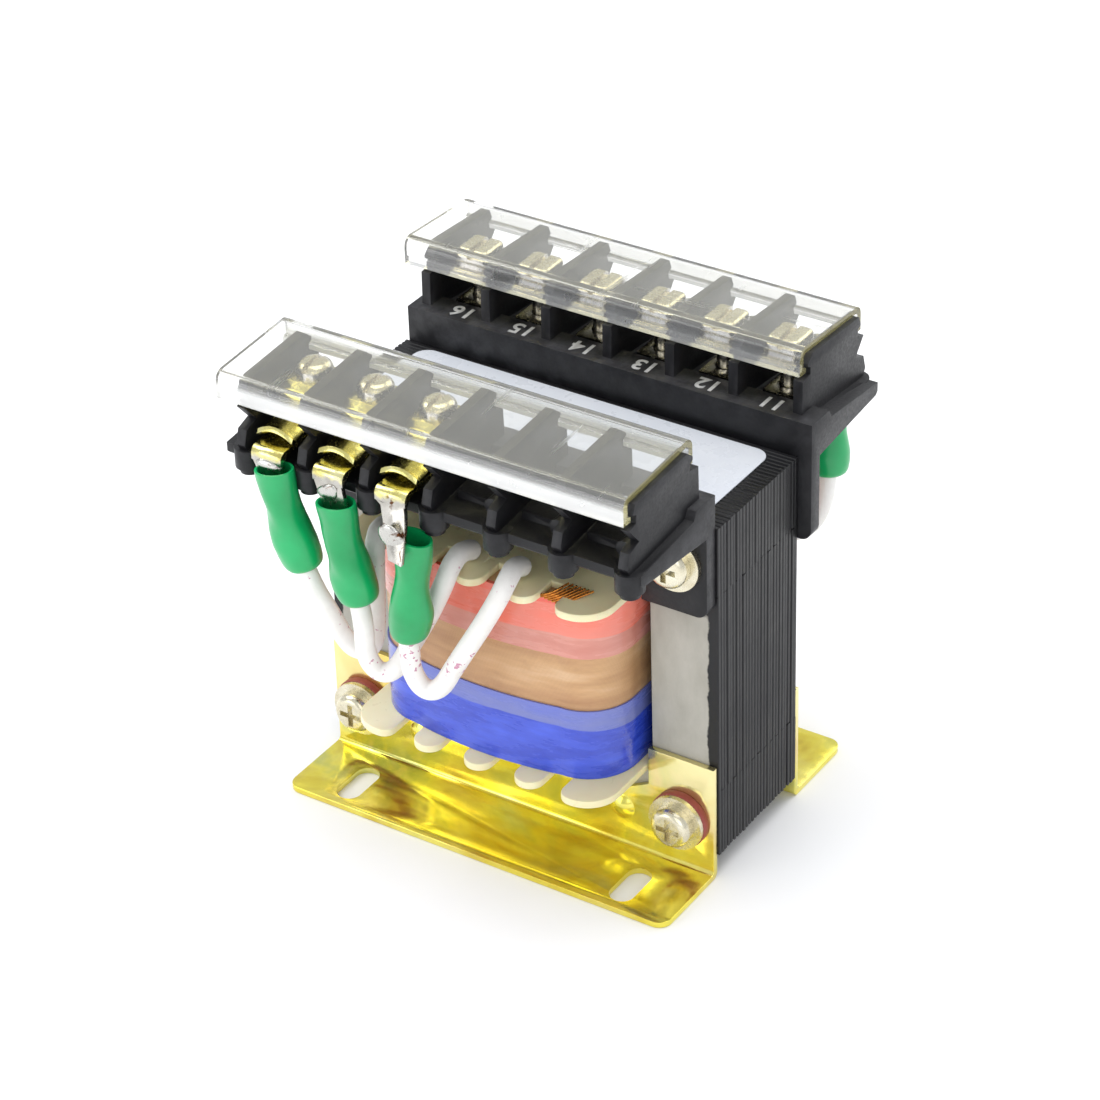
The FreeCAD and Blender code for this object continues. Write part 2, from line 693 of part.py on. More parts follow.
# covers
def clear_cover(label, right_end):
    body = new_body(label)
    x0, x1 = P.cover_inner, P.cover_inner + P.cover_depth
    t = P.cover_wall
    hook = P.cover_hook
    zb, zf = P.cover_top, P.cover_top - P.cover_fall
    r = P.cover_bend
    sk = new_sketch(body, "ChannelOutline", "XZ_Plane", at_y(right_end))
    outline(sk, [
        (x0, lip_back), (x0 + t + hook, lip_back), (x0 + t + hook, lip_back + hook),
        (x0 + t, lip_back + hook + 0.4), (x0 + t, zb - t - 0.7), (x0 + t + 0.7, zb - t),
        (x1 - t - 0.7, zf - t), (x1 - t, zf - t - 0.7), (x1 - t, lip_front + hook + 0.4),
        (x1 - t - hook, lip_front + hook), (x1 - t - hook, lip_front), (x1, lip_front),
        (x1, zf - r), (x1 - r, zf), (x0 + r, zb), (x0, zb - r)],
        {4: (x0 + t + 0.7, zb - t - 0.7, False), 6: (x1 - t - 0.7, zf - t - 0.7, False),
         12: (x1 - r, zf - r), 14: (x0 + r, zb - r)})
    pad(body, "Channel", sk, P.cover_length)
    return body


keep(clear_cover("front_cover", block_right - P.front_cover_inset))
keep(turned(clear_cover("back_cover", block_right + P.back_cover_over)))


# terminal hardware
contact_low = P.pad_top + P.contact_gap
contact_high = contact_low + P.contact_thick
lug_x = base_edge + P.lug_stand


def cell(k):
    """Y of cell k of a block, counted from its right end."""
    return first_cell - P.barrier_pitch * k


def contact_strips(label, cells, drops, leans):
    """Flat strips on the seats; the front end folds down into a solder tag."""
    body = new_body(label)
    for k, drop, lean in zip(cells, drops, leans):
        t = P.contact_thick
        z0, z1 = contact_low, contact_high
        back = ledge_edge + 0.8
        r = 1.6
        half = P.contact_width / 2
        neck = z0 - P.tag_shoulder
        sk = new_sketch(body, "Strip%dOutline" % k, "XZ_Plane", at_y(cell(k) + half))
        if drop:
            outline(sk, [(back, z0), (lug_x - r + 0.4, z0), (lug_x, z0 - r + 0.4),
                         (lug_x, neck), (lug_x + t, neck), (lug_x + t, z1 - r),
                         (lug_x + t - r, z1), (back, z1)],
                    {5: (lug_x + t - r, z1 - r)})
        else:
            outline(sk, [(back, z0), (base_edge, z0), (base_edge, z1), (back, z1)])
        pad(body, "Strip%d" % k, sk, P.contact_width)
        doc.recompute()
        if drop:
            sk = new_sketch(body, "Tag%dOutline" % k, "YZ_Plane", lug_x)
            w, e = P.tag_width / 2, P.tag_end / 2
            outline(sk, [(cell(k) + lean - e, drop), (cell(k) + lean + e, drop),
                         (cell(k) + w, neck), (cell(k) - w, neck)])
            pad(body, "Tag%d" % k, sk, t)
            doc.recompute()
    sk = new_sketch(body, "BoreOutline", "XY_Plane", contact_high + 1)
    for k in cells:
        circle(sk, screw_x, cell(k), P.screw_shank + 0.4)
    pocket(body, "Bores", sk, 3)
    doc.recompute()
    return body


def saddle_clamps(label, cells):
    """Bridge clamps: the crown rides under the screw head and the front tongue
    presses the wire on the contact."""
    body = new_body(label)
    t = P.clamp_thick
    crown = screw_under - P.contact_gap
    half = P.clamp_width / 2
    low = contact_high + P.contact_gap
    x_back = screw_x - P.clamp_back
    x_front = screw_x + P.clamp_back
    tip = base_edge + P.tongue_reach
    tongue = low + P.tongue_rise
    for k in cells:
        sk = new_sketch(body, "Clamp%dOutline" % k, "XZ_Plane", at_y(cell(k) + half))
        outline(sk, [
            (x_back - 0.6, crown - t - 0.8), (x_back + 0.4, crown - t - 0.8), (x_back + 0.4, crown - t),
            (x_front - 0.4, crown - t), (x_front + 3.6, tongue), (tip - 0.8, tongue - 0.5),
            (tip, tongue + 0.3), (tip - 0.5, tongue + t + 0.1), (tip - 1.2, tongue + t - 0.5),
            (x_front + 4.0, tongue + t), (x_front, crown), (x_back, crown), (x_back - 0.6, crown - 0.6)])
        pad(body, "Clamp%d" % k, sk, P.clamp_width)
        doc.recompute()
    sk = new_sketch(body, "BoreOutline", "XY_Plane", crown + 1)
    for k in cells:
        circle(sk, screw_x, cell(k), P.screw_shank + 0.5)
    pocket(body, "Bores", sk, t + 2)
    return body


screw_under = P.screw_top - P.screw_head_height


def terminal_screws(label, cells, square):
    """Screws backed out under the cover, ready for a wire."""
    body = new_body(label)
    sk = new_sketch(body, "ShankOutline", "XY_Plane", P.base_bottom + 0.2)
    for k in cells:
        circle(sk, screw_x, cell(k), P.screw_shank)
    pad(body, "Shanks", sk, screw_under - P.base_bottom)
    sk = new_sketch(body, "HeadOutline", "XY_Plane", screw_under)
    half = P.screw_head / 2
    for k in cells:
        if square:
            rectangle(sk, screw_x - half, cell(k) - half, screw_x + half, cell(k) + half)
        else:
            circle(sk, screw_x, cell(k), P.screw_head)
    pad(body, "Heads", sk, P.screw_head_height)
    doc.recompute()
    top = size(P.screw_top).number
    if square:
        soften(body, "HeadCorners", lambda e: upright(e) and e.Vertexes[0].Z > top - 6, 1.3)
        doc.recompute()
    soften(body, "HeadDome", lambda e: e.BoundBox.ZMin > top - 0.01, 0.9 if square else 1.8)
    doc.recompute()
    sk = new_sketch(body, "DriverOutline", "XY_Plane", top + 0.5)
    for k in cells:
        y = cell(k)
        w = P.driver_slot / 2
        rectangle(sk, screw_x - half - 1, y - w, screw_x + half + 1, y + w)
    pocket(body, "DriverSlots", sk, 1.2 + 0.5)
    return body


def terminal_nuts(label, cells):
    body = new_body(label)
    half = P.nut_square / 2
    sk = new_sketch(body, "NutOutline", "XY_Plane", P.base_bottom + 0.4)
    for k in cells:
        y = cell(k)
        rectangle(sk, screw_x - half, y - half, screw_x + half, y + half)
        circle(sk, screw_x, y, P.screw_shank + P.thread_gap * 2)
    pad(body, "Nuts", sk, P.nut_thick)
    return body


USED = (3, 4, 5)
ALL = (0, 1, 2, 3, 4, 5)
keep(contact_strips("front_contacts", USED, (P.tag_low_3, P.tag_low_2, P.tag_low_1),
                    (P.tag_lean_3, P.tag_lean_2, P.tag_lean_1)))
keep(turned(contact_strips("back_contacts", ALL, (P.tag_low_b, 0, 0, 0, 0, P.tag_low_b),
                           (0, 0, 0, 0, 0, 0))))
keep(saddle_clamps("front_saddle_clamps", USED))
keep(turned(saddle_clamps("back_saddle_clamps", ALL)))
keep(terminal_screws("front_terminal_screws", USED, False))
keep(turned(terminal_screws("back_terminal_screws", ALL, True)))
keep(terminal_nuts("front_terminal_nuts", USED))
keep(turned(terminal_nuts("back_terminal_nuts", ALL)))


# fasteners
def discs(label, start, thick, outer, bore, height):
    """A pair of washers, one on each core bolt of a level."""
    body = new_body(label)
    sk = new_sketch(body, "DiscOutline", "YZ_Plane", start)
    for s in (1, -1):
        circle(sk, bolt_y * s, height, outer)
        circle(sk, bolt_y * s, height, bore)
    pad(body, "Disc", sk, thick)
    return keep(body)


def core_bolts(label, seat, tail, height):
    """A pair of pan-head bolts through the core, cross-recessed, heads to the front."""
    body = new_body(label)
    sk = new_sketch(body, "ShankOutline", "YZ_Plane", tail)
    for s in (1, -1):
        circle(sk, bolt_y * s, height, P.bolt_shank)
    pad(body, "Shanks", sk, seat - tail)
    sk = new_sketch(body, "HeadOutline", "YZ_Plane", seat)
    for s in (1, -1):
        circle(sk, bolt_y * s, height, P.bolt_head)
    pad(body, "Heads", sk, P.bolt_head_height)
    doc.recompute()
    face = (seat + P.bolt_head_height).number
    soften(body, "HeadRound", lambda e: e.BoundBox.XMin > face - 0.01, 1.4)
    doc.recompute()
    sk = new_sketch(body, "DriverOutline", "YZ_Plane", seat + P.bolt_head_height + 0.5)
    half, w = P.driver_cross / 2, P.driver_slot / 2
    for s in (1, -1):
        c = bolt_y * s
        outline(sk, [(c + half, height - w), (c + half, height + w), (c + w, height + w),
                     (c + w, height + half), (c - w, height + half), (c - w, height + w),
                     (c - half, height + w), (c - half, height - w), (c - w, height - w),
                     (c - w, height - half), (c + w, height - half), (c + w, height - w)])
    pocket(body, "DriverCross", sk, P.driver_depth + 0.5)
    return keep(body)


def hex_nuts(label, start, height):
    body = new_body(label)
    sk = new_sketch(body, "NutOutline", "YZ_Plane", start)
    corner = P.nut_flats / math.sqrt(3.0)
    for s in (1, -1):
        y = bolt_y * s
        points = []
        for k in range(6):
            a = math.radians(60 * k + 30)
            points.append((y + corner * math.cos(a), height + corner * math.sin(a)))
        outline(sk, points)
        circle(sk, y, height, P.bolt_shank + P.thread_gap * 2)
    pad(body, "Nut", sk, P.nut_height)
    return keep(body)


g = P.contact_gap
fibre_at = web_face + g
low_washer_at = fibre_at + P.fibre_thick + g
low_seat = low_washer_at + P.washer_thick + g
discs("fibre_washers", fibre_at, P.fibre_thick, P.fibre_outer, P.washer_bore, bolt_low)
discs("lower_washers", low_washer_at, P.washer_thick, P.washer_outer, P.washer_bore, bolt_low)
ear_face = core_face + P.ear_thick
high_washer_at = ear_face + g
high_seat = high_washer_at + P.washer_thick + g
discs("upper_washers", high_washer_at, P.washer_thick, P.washer_outer, P.washer_bore, bolt_high)

low_back_washer = -web_face - g - P.washer_thick
low_nut = low_back_washer - g - P.nut_height
discs("lower_back_washers", low_back_washer, P.washer_thick, P.washer_outer, P.washer_bore, bolt_low)
hex_nuts("lower_nuts", low_nut, bolt_low)
core_bolts("lower_core_bolts", low_seat, low_nut - P.bolt_tail, bolt_low)
high_back_washer = -ear_face - g - P.washer_thick
high_nut = high_back_washer - g - P.nut_height
discs("upper_back_washers", high_back_washer, P.washer_thick, P.washer_outer, P.washer_bore, bolt_high)
hex_nuts("upper_nuts", high_nut, bolt_high)
core_bolts("upper_core_bolts", high_seat, high_nut - P.bolt_tail, bolt_high)


# label
body = new_body("rating_label")
sk = new_sketch(body, "LabelOutline", "XY_Plane", core_top + P.contact_gap)
round_rectangle(sk, P.label_depth / 2, P.label_width / 2, P.label_corner)
pad(body, "Film", sk, P.label_thick)
keep(body)


# lead-out wires
def tube_path(points):
    """Straight runs joined by tangent arcs, each as large as its runs allow."""
    pts = [V(*p) for p in points]
    edges, radii = [], []
    here = pts[0]
    for i in range(1, len(pts) - 1):
        before = pts[i] - pts[i - 1]
        after = pts[i + 1] - pts[i]
        turn = before.getAngle(after)
        trim = 0.45 * min(before.Length, after.Length)
        radii.append(trim / math.tan(turn / 2))
        u, w = V(before).normalize(), V(after).normalize()
        p, q = pts[i] - u * trim, pts[i] + w * trim
        inward = (w - u).normalize()
        hub = pts[i] + inward * (radii[-1] / math.cos(turn / 2))
        mid = hub - inward * radii[-1]
        edges.append(Part.LineSegment(here, p).toShape())
        edges.append(Part.Arc(p, mid, q).toShape())
        here = q
    edges.append(Part.LineSegment(here, pts[-1]).toShape())
    return Part.Wire(edges), radii


def lead(label, points, back=False):
    """One sleeved lead-out wire along its route."""
    path, radii = tube_path(points)
    r = sheet.sleeving / 2
    start = V(*points[0])
    way = (V(*points[1]) - start).normalize()
    ring = Part.Wire([Part.Circle(start, way, r).toShape()])
    tube = path.makePipeShell([ring], True, True)
    error = tube.Volume / (math.pi * r * r * path.Length) - 1
    print("%s length %.1f volume error %.4f radii %s"
          % (label, path.Length, error, " ".join("%.1f" % x for x in radii)))
    if abs(error) > 0.01 or not tube.isValid():
        raise RuntimeError(label + " is not a sound tube")
    feat = doc.addObject("Part::Feature", label)
    feat.Label = label
    feat.Shape = tube
    if back:
        feat.Placement = FreeCAD.Placement(V(0, 0, 0), FreeCAD.Rotation(V(0, 0, 1), 180))
    return keep(feat)


def tag_sleeve(label, top, bottom, back=False):
    """A soft sleeve over a solder tag: flat at the tag, round at the wire."""
    wide, deep = sheet.sleeve_wide / 2, sheet.sleeve_deep / 2
    thin = sheet.sleeve_wall
    round_end = sheet.sleeve_round / 2
    top, bottom = V(*top), V(*bottom)
    axis = bottom - top
    side = V(0, 1, 0) - axis * (axis.y / axis.dot(axis))
    side.normalize()
    away = axis.cross(side).normalize()

    waist, fat = sheet.sleeve_waist / 2, sheet.sleeve_bulge / 2
    middle = (waist + fat) / 2
    sections = [(0.0, wide, deep), (0.34, waist, waist - 0.3), (0.54, middle, middle - 0.4),
                (0.73, fat, fat - 0.8), (0.88, middle, middle - 0.5), (1.0, round_end, round_end)]

    def loft(shrink, spill):
        wires = []
        for share, a, b in sections:
            extra = -spill if share == 0.0 else (spill if share == 1.0 else 0.0)
            centre = top + axis * share + V(axis).normalize() * extra
            a, b = a - shrink, min(b, a - 0.001) - shrink
            e = Part.Ellipse(centre + side * a, centre + away * b, centre)
            wires.append(Part.Wire([e.toShape()]))
        return Part.makeLoft(wires, True, True)

    shape = loft(0.0, 0.0).cut(loft(thin, 0.4))
    feat = doc.addObject("Part::Feature", label)
    feat.Label = label
    feat.Shape = shape.Solids[0] if shape.Solids else shape
    if back:
        feat.Placement = FreeCAD.Placement(V(0, 0, 0), FreeCAD.Rotation(V(0, 0, 1), 180))
    return keep(feat)


# Each wire leaves the round end of its sleeve, hangs down in front of the coil,
# turns up and ends on the top flange of the bobbin, under the block. A route
# starts with the sleeve's two ends.
tag_x = (lug_x + P.contact_thick / 2).number
front_tags = tag_x + 0.4
back_tags = tag_x + 0.1
WIRES = [
    ("1", False, (front_tags, cell(5).number + 0.4, 78.0), (39.1, -28.2, 58.0),
     [(36.6, -25.0, 47.6), (34.6, -24.2, 42.0), (33.4, -22.4, 39.0), (32.4, -19.6, 39.8),
      (32.3, -18.6, 44.0), (32.8, -17.8, 51.5), (33.2, -17.2, 59.0), (32.0, -17.8, 63.0),
      (29.0, -18.8, 64.2), (25.8, -19.6, 62.6)]),
    ("2", False, (front_tags, cell(4).number + 0.9, 75.2), (39.25, -16.4, 54.2),
     [(38.2, -16.9, 42.8), (37.2, -15.0, 38.9), (36.6, -11.6, 39.9), (34.6, -9.2, 45.4),
      (33.1, -5.6, 52.8), (33.0, -2.6, 59.4), (31.4, -1.8, 63.2), (28.0, -1.7, 64.3),
      (25.0, -1.8, 62.6)]),
    ("3", False, (front_tags, cell(3).number + 1.3, 72.6), (39.25, -6.2, 50.0),
     [(38.0, -6.9, 42.6), (37.4, -5.0, 38.8), (36.6, -1.8, 39.4), (35.9, 1.2, 45.4),
      (34.9, 6.4, 54.6), (33.3, 9.3, 60.8), (31.2, 10.0, 64.0), (28.0, 9.5, 64.8),
      (25.2, 8.8, 62.7)]),
    ("4", True, (back_tags, cell(5).number + 0.1, 73.0), (39.2, -34.0, 56.0),
     [(38.2, -32.8, 46.6), (37.0, -30.2, 42.8), (35.2, -26.2, 42.6), (34.0, -22.8, 46.0),
      (33.4, -20.0, 52.4), (33.2, -18.2, 59.0), (32.0, -18.0, 63.0), (29.0, -18.8, 64.2),
      (25.8, -19.6, 62.6)]),
    ("5", True, (back_tags, cell(0).number + 0.1, 73.0), (39.2, 32.8, 56.0),
     [(38.2, 31.4, 47.2), (36.8, 28.6, 43.6), (35.0, 24.8, 44.0), (33.8, 21.9, 48.0),
      (33.3, 19.6, 54.0), (33.2, 18.4, 59.4), (32.0, 18.2, 63.0), (29.0, 18.9, 64.2),
      (25.8, 19.6, 62.6)]),
]
for mark, back, top, bottom, route in WIRES:
    tag_sleeve("green_sleeve_" + mark, top, bottom, back)
    way = (V(*bottom) - V(*top)).normalize()
    start, leave = V(*bottom) - way * 4, V(*bottom) + way * 3
    lead("lead_wire_" + mark, [tuple(start), tuple(leave)] + route, back)


# output
doc.recompute()
for obj in doc.Objects:
    bad = [s for s in obj.State if s in ("Invalid", "Error")]
    if bad:
        raise RuntimeError("%s is %s" % (obj.Name, bad))
os.makedirs("parts", exist_ok=True)
for obj in NODES:
    shape = obj.Shape
    if shape.isNull() or not shape.isValid():
        raise RuntimeError(obj.Label + " is not valid")
    shape.exportStep("parts/%s.step" % obj.Label)
print("%d nodes" % len(NODES))
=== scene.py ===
import json
import math
import random

import bmesh
import bpy
import numpy as np
from mathutils import Matrix, Vector


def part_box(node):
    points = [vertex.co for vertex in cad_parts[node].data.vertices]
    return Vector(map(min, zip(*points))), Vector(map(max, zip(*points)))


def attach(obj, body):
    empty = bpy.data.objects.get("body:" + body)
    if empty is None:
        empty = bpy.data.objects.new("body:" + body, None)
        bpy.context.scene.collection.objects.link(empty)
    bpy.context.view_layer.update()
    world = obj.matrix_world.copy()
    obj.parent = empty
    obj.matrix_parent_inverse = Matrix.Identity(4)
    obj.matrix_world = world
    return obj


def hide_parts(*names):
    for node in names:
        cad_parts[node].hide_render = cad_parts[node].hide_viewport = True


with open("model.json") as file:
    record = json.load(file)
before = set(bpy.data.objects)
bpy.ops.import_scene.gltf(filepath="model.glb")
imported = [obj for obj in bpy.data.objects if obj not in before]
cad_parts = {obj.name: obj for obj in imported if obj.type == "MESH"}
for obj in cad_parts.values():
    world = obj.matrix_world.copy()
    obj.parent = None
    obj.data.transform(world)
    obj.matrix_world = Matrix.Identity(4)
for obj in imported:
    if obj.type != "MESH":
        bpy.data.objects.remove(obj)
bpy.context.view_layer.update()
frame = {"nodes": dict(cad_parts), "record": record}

scene = bpy.context.scene
nodes = frame["nodes"]
MM = 0.001

# places that the finished pieces share with the construction, in metres
FIRST_CELL = 0.0323
CELL_PITCH = 0.0132
LEDGE_TOP = 0.0818
BOLT_SIDE = 0.0350
LOW_BOLT = 0.0118
DIMPLE_SIDE = 0.0222
DIMPLE_HEIGHT = 0.0094
DIMPLE_RADIUS = 0.00265
DIMPLE_RISE = 0.0011
EAR_SIDE = 0.0275
EAR_BOTTOM = 0.0570
EAR_LIFT = 0.0034


def place_camera():
    """The camera stands where the photograph's camera stood."""
    data = bpy.data.cameras.new("camera")
    cam = bpy.data.objects.new("camera", data)
    scene.collection.objects.link(cam)
    az, el, roll = math.radians(33.97083), math.radians(32.77829), math.radians(-1.91286)
    n = Vector((math.cos(el) * math.cos(az), math.cos(el) * math.sin(az), math.sin(el)))
    right = Vector((-math.sin(az), math.cos(az), 0))
    up = n.cross(right)
    x = right * math.cos(roll) + up * math.sin(roll)
    y = right * -math.sin(roll) + up * math.cos(roll)
    turn = Matrix((x, y, n)).transposed().to_4x4()
    turn.translation = Vector((0.47358, 0.31702, 0.41628))
    cam.matrix_world = turn
    data.lens = 36 * 3710.857 / 1100
    data.sensor_width = 36
    data.clip_start = 0.05
    data.clip_end = 20
    scene.camera = cam


place_camera()


# materials
class Look:
    """A procedural material built from a few kinds of node."""

    def __init__(self, name):
        self.mat = bpy.data.materials.new(name)
        self.mat.use_nodes = True
        self.tree = self.mat.node_tree
        self.bsdf = self.tree.nodes["Principled BSDF"]
        self.coord = self.add("ShaderNodeTexCoord").outputs["Object"]

    def add(self, kind, **props):
        node = self.tree.nodes.new(kind)
        for key, value in props.items():
            setattr(node, key, value)
        return node

    def link(self, a, b):
        self.tree.links.new(a, b)

    def value(self, socket, number):
        self.bsdf.inputs[socket].default_value = number

    def stretch(self, x, y, z, turn=0.0):
        node = self.add("ShaderNodeMapping")
        node.inputs["Scale"].default_value = (x, y, z)
        node.inputs["Rotation"].default_value = (0, 0, turn)
        self.link(self.coord, node.inputs["Vector"])
        return node.outputs["Vector"]

    def noise(self, scale, detail=4.0, rough=0.55, vector=None, distort=0.0):
        node = self.add("ShaderNodeTexNoise")
        node.inputs["Scale"].default_value = scale
        node.inputs["Detail"].default_value = detail
        node.inputs["Roughness"].default_value = rough
        node.inputs["Distortion"].default_value = distort
        self.link(vector or self.coord, node.inputs["Vector"])
        return node.outputs["Fac"]

    def wave(self, scale, axis, distort=0.0):
        node = self.add("ShaderNodeTexWave", wave_type="BANDS", bands_direction=axis)
        node.inputs["Scale"].default_value = scale
        node.inputs["Distortion"].default_value = distort
        self.link(self.coord, node.inputs["Vector"])
        return node.outputs["Fac"]

    def ramp(self, fac, stops):
        node = self.add("ShaderNodeValToRGB")
        items = node.color_ramp.elements
        while len(items) < len(stops):
            items.new(0.5)
        for item, (pos, colour) in zip(items, stops):
            item.position = pos
            item.color = tuple(colour) + ((1,) if len(colour) == 3 else ())
        self.link(fac, node.inputs["Fac"])
        return node.outputs["Color"]

    def grey(self, fac, low, high, start=0.0, end=1.0):
        node = self.add("ShaderNodeMapRange")
        node.inputs["From Min"].default_value = start
        node.inputs["From Max"].default_value = end
        node.inputs["To Min"].default_value = low
        node.inputs["To Max"].default_value = high
        self.link(fac, node.inputs["Value"])
        return node.outputs["Result"]

    def mix(self, fac, a, b):
        node = self.add("ShaderNodeMix", data_type="RGBA")
        for socket, item in ((node.inputs[0], fac), (node.inputs[6], a), (node.inputs[7], b)):
            if isinstance(item, (int, float)):
                socket.default_value = item
            elif isinstance(item, tuple):
                socket.default_value = item + ((1,) if len(item) == 3 else ())
            else:
                self.link(item, socket)
        return node.outputs[2]

    def math(self, kind, a, b=0.0):
        node = self.add("ShaderNodeMath", operation=kind)
        for socket, item in ((node.inputs[0], a), (node.inputs[1], b)):
            if isinstance(item, (int, float)):
                socket.default_value = item
            else:
                self.link(item, socket)
        return node.outputs[0]

    def axis(self, which):
        node = self.add("ShaderNodeSeparateXYZ")
        self.link(self.coord, node.inputs[0])
        return node.outputs[which]

    def facing(self, which):
        """A component of the surface's own direction."""
        node = self.add("ShaderNodeSeparateXYZ")
        geo = self.add("ShaderNodeNewGeometry")
        self.link(geo.outputs["Normal"], node.inputs[0])
        return node.outputs[which]

    def pointy(self):
        return self.add("ShaderNodeNewGeometry").outputs["Pointiness"]

    def colour(self, socket):
        self.link(socket, self.bsdf.inputs["Base Color"])

    def rough(self, socket):
        self.link(socket, self.bsdf.inputs["Roughness"])

    def bump(self, height, strength, distance, after=None):
        node = self.add("ShaderNodeBump")
        node.inputs["Strength"].default_value = strength
        node.inputs["Distance"].default_value = distance
        self.link(height, node.inputs["Height"])
        if after is not None:
            self.link(after, node.inputs["Normal"])
        return node.outputs["Normal"]

    def normal(self, socket):
        self.link(socket, self.bsdf.inputs["Normal"])


def plain_look(name, dark, light, rough_low, rough_high, scale=120, bump=0.0, coat=0.0):
    look = Look(name)
    look.value("Coat Weight", coat)
    look.value("Coat Roughness", 0.15)
    broad = look.noise(scale, 5)
    fine = look.noise(scale * 9, 3)
    look.colour(look.ramp(broad, [(0.3, dark), (0.7, light)]))
    look.rough(look.grey(fine, rough_low, rough_high, 0.3, 0.7))
    if bump:
        look.normal(look.bump(fine, bump, 0.0002))
    return look


def black_varnish():
    look = Look("black_varnish")
    look.value("Specular IOR Level", 0.35)
    blot = look.noise(55, 5, 0.6)
    fine = look.noise(900, 4, 0.6)
    base = look.ramp(blot, [(0.3, (0.004, 0.004, 0.0045)), (0.7, (0.013, 0.013, 0.015))])
    # bare steel where the brush stopped, on the front faces of the legs
    side = look.math("ABSOLUTE", look.axis("Y"))
    ragged = look.noise(150, 4, 0.7)
    side = look.math("ADD", side, look.grey(ragged, -0.0004, 0.0004, 0.3, 0.7))
    inner = look.grey(side, 1.0, 0.0, 0.0398, 0.0401)
    height = look.math("ADD", look.axis("Z"), look.grey(ragged, -0.001, 0.001, 0.3, 0.7))
    top = look.grey(height, 1.0, 0.0, 0.0556, 0.0564)
    front = look.grey(look.facing("X"), 0.0, 1.0, 0.9, 0.95)
    bare = look.math("MULTIPLY", look.math("MULTIPLY", top, inner), front)
    cloud = look.noise(130, 5, 0.65, vector=look.stretch(1, 1, 0.5))
    steel = look.ramp(cloud, [(0.3, (0.33, 0.315, 0.27)), (0.7, (0.45, 0.435, 0.385))])
    look.colour(look.mix(bare, base, steel))
    look.rough(look.grey(blot, 0.32, 0.52, 0.3, 0.7))
    look.normal(look.bump(look.noise(420, 4), 0.3, 0.00025, look.bump(fine, 0.15, 0.0001)))
    return look


def zinc_yellow():
    look = Look("zinc_yellow")
    look.value("Metallic", 0.92)
    swirl = look.noise(30, 4, 0.6, distort=1.4)
    cloud = look.noise(85, 5, 0.6, distort=0.6)
    tint = look.ramp(swirl, [(0.25, (0.38, 0.25, 0.05)), (0.38, (0.76, 0.60, 0.08)),
                             (0.50, (0.90, 0.79, 0.12)), (0.60, (0.62, 0.62, 0.16)),
                             (0.68, (0.88, 0.72, 0.28)), (0.80, (0.72, 0.42, 0.24))])
    tint = look.mix(look.grey(cloud, 0.0, 0.45, 0.45, 0.75), tint, (0.93, 0.87, 0.42))
    # paler and pinker towards the ends of the upright
    ends = look.math("MULTIPLY", look.grey(look.math("ABSOLUTE", look.axis("Y")), 0.0, 1.0, 0.022, 0.036),
                     look.grey(look.axis("Z"), 0.0, 0.75, 0.004, 0.010))
    pale_pink = look.mix(look.grey(swirl, 0.0, 1.0, 0.4, 0.6), (0.80, 0.58, 0.30), (0.90, 0.80, 0.44))
    look.colour(look.mix(ends, tint, pale_pink))
    fine = look.noise(700, 3, vector=look.stretch(1, 0.12, 1))
    wide = look.noise(60, 3, vector=look.stretch(1, 0.3, 1))
    look.rough(look.grey(fine, 0.11, 0.25, 0.3, 0.7))
    grit = look.noise(2200, 2)
    waves = look.bump(fine, 0.10, 0.00008, look.bump(wide, 0.45, 0.0014))
    look.normal(look.bump(grit, 0.10, 0.00005, waves))
    return look


def metal_look(name, dark, light, low, high, scale=260):
    look = Look(name)
    look.value("Metallic", 1.0)
    broad = look.noise(scale, 4, 0.6)
    fine = look.noise(scale * 6, 3)
    look.colour(look.ramp(broad, [(0.3, dark), (0.7, light)]))
    look.rough(look.grey(fine, low, high, 0.3, 0.7))
    look.normal(look.bump(fine, 0.15, 0.0001))
    return look


def moulding():
    look = Look("dark_moulding")
    look.value("Specular IOR Level", 0.3)
    broad = look.noise(70, 4)
    fine = look.noise(1800, 3, 0.6)
    patchy = look.grey(look.noise(300, 3), 0.2, 1.0, 0.4, 0.65)
    # convex edges are painted lighter: partly scuffed wear, partly a painted highlight
    scuff_and_highlight = look.math("MULTIPLY", look.grey(look.pointy(), 0.0, 0.7, 0.52, 0.60), patchy)
    base = look.ramp(broad, [(0.3, (0.005, 0.005, 0.0062)), (0.7, (0.011, 0.011, 0.013))])
    look.colour(look.mix(scuff_and_highlight, base, (0.05, 0.05, 0.055)))
    look.rough(look.grey(fine, 0.34, 0.50, 0.3, 0.7))
    look.normal(look.bump(fine, 0.22, 0.00012))
    return look


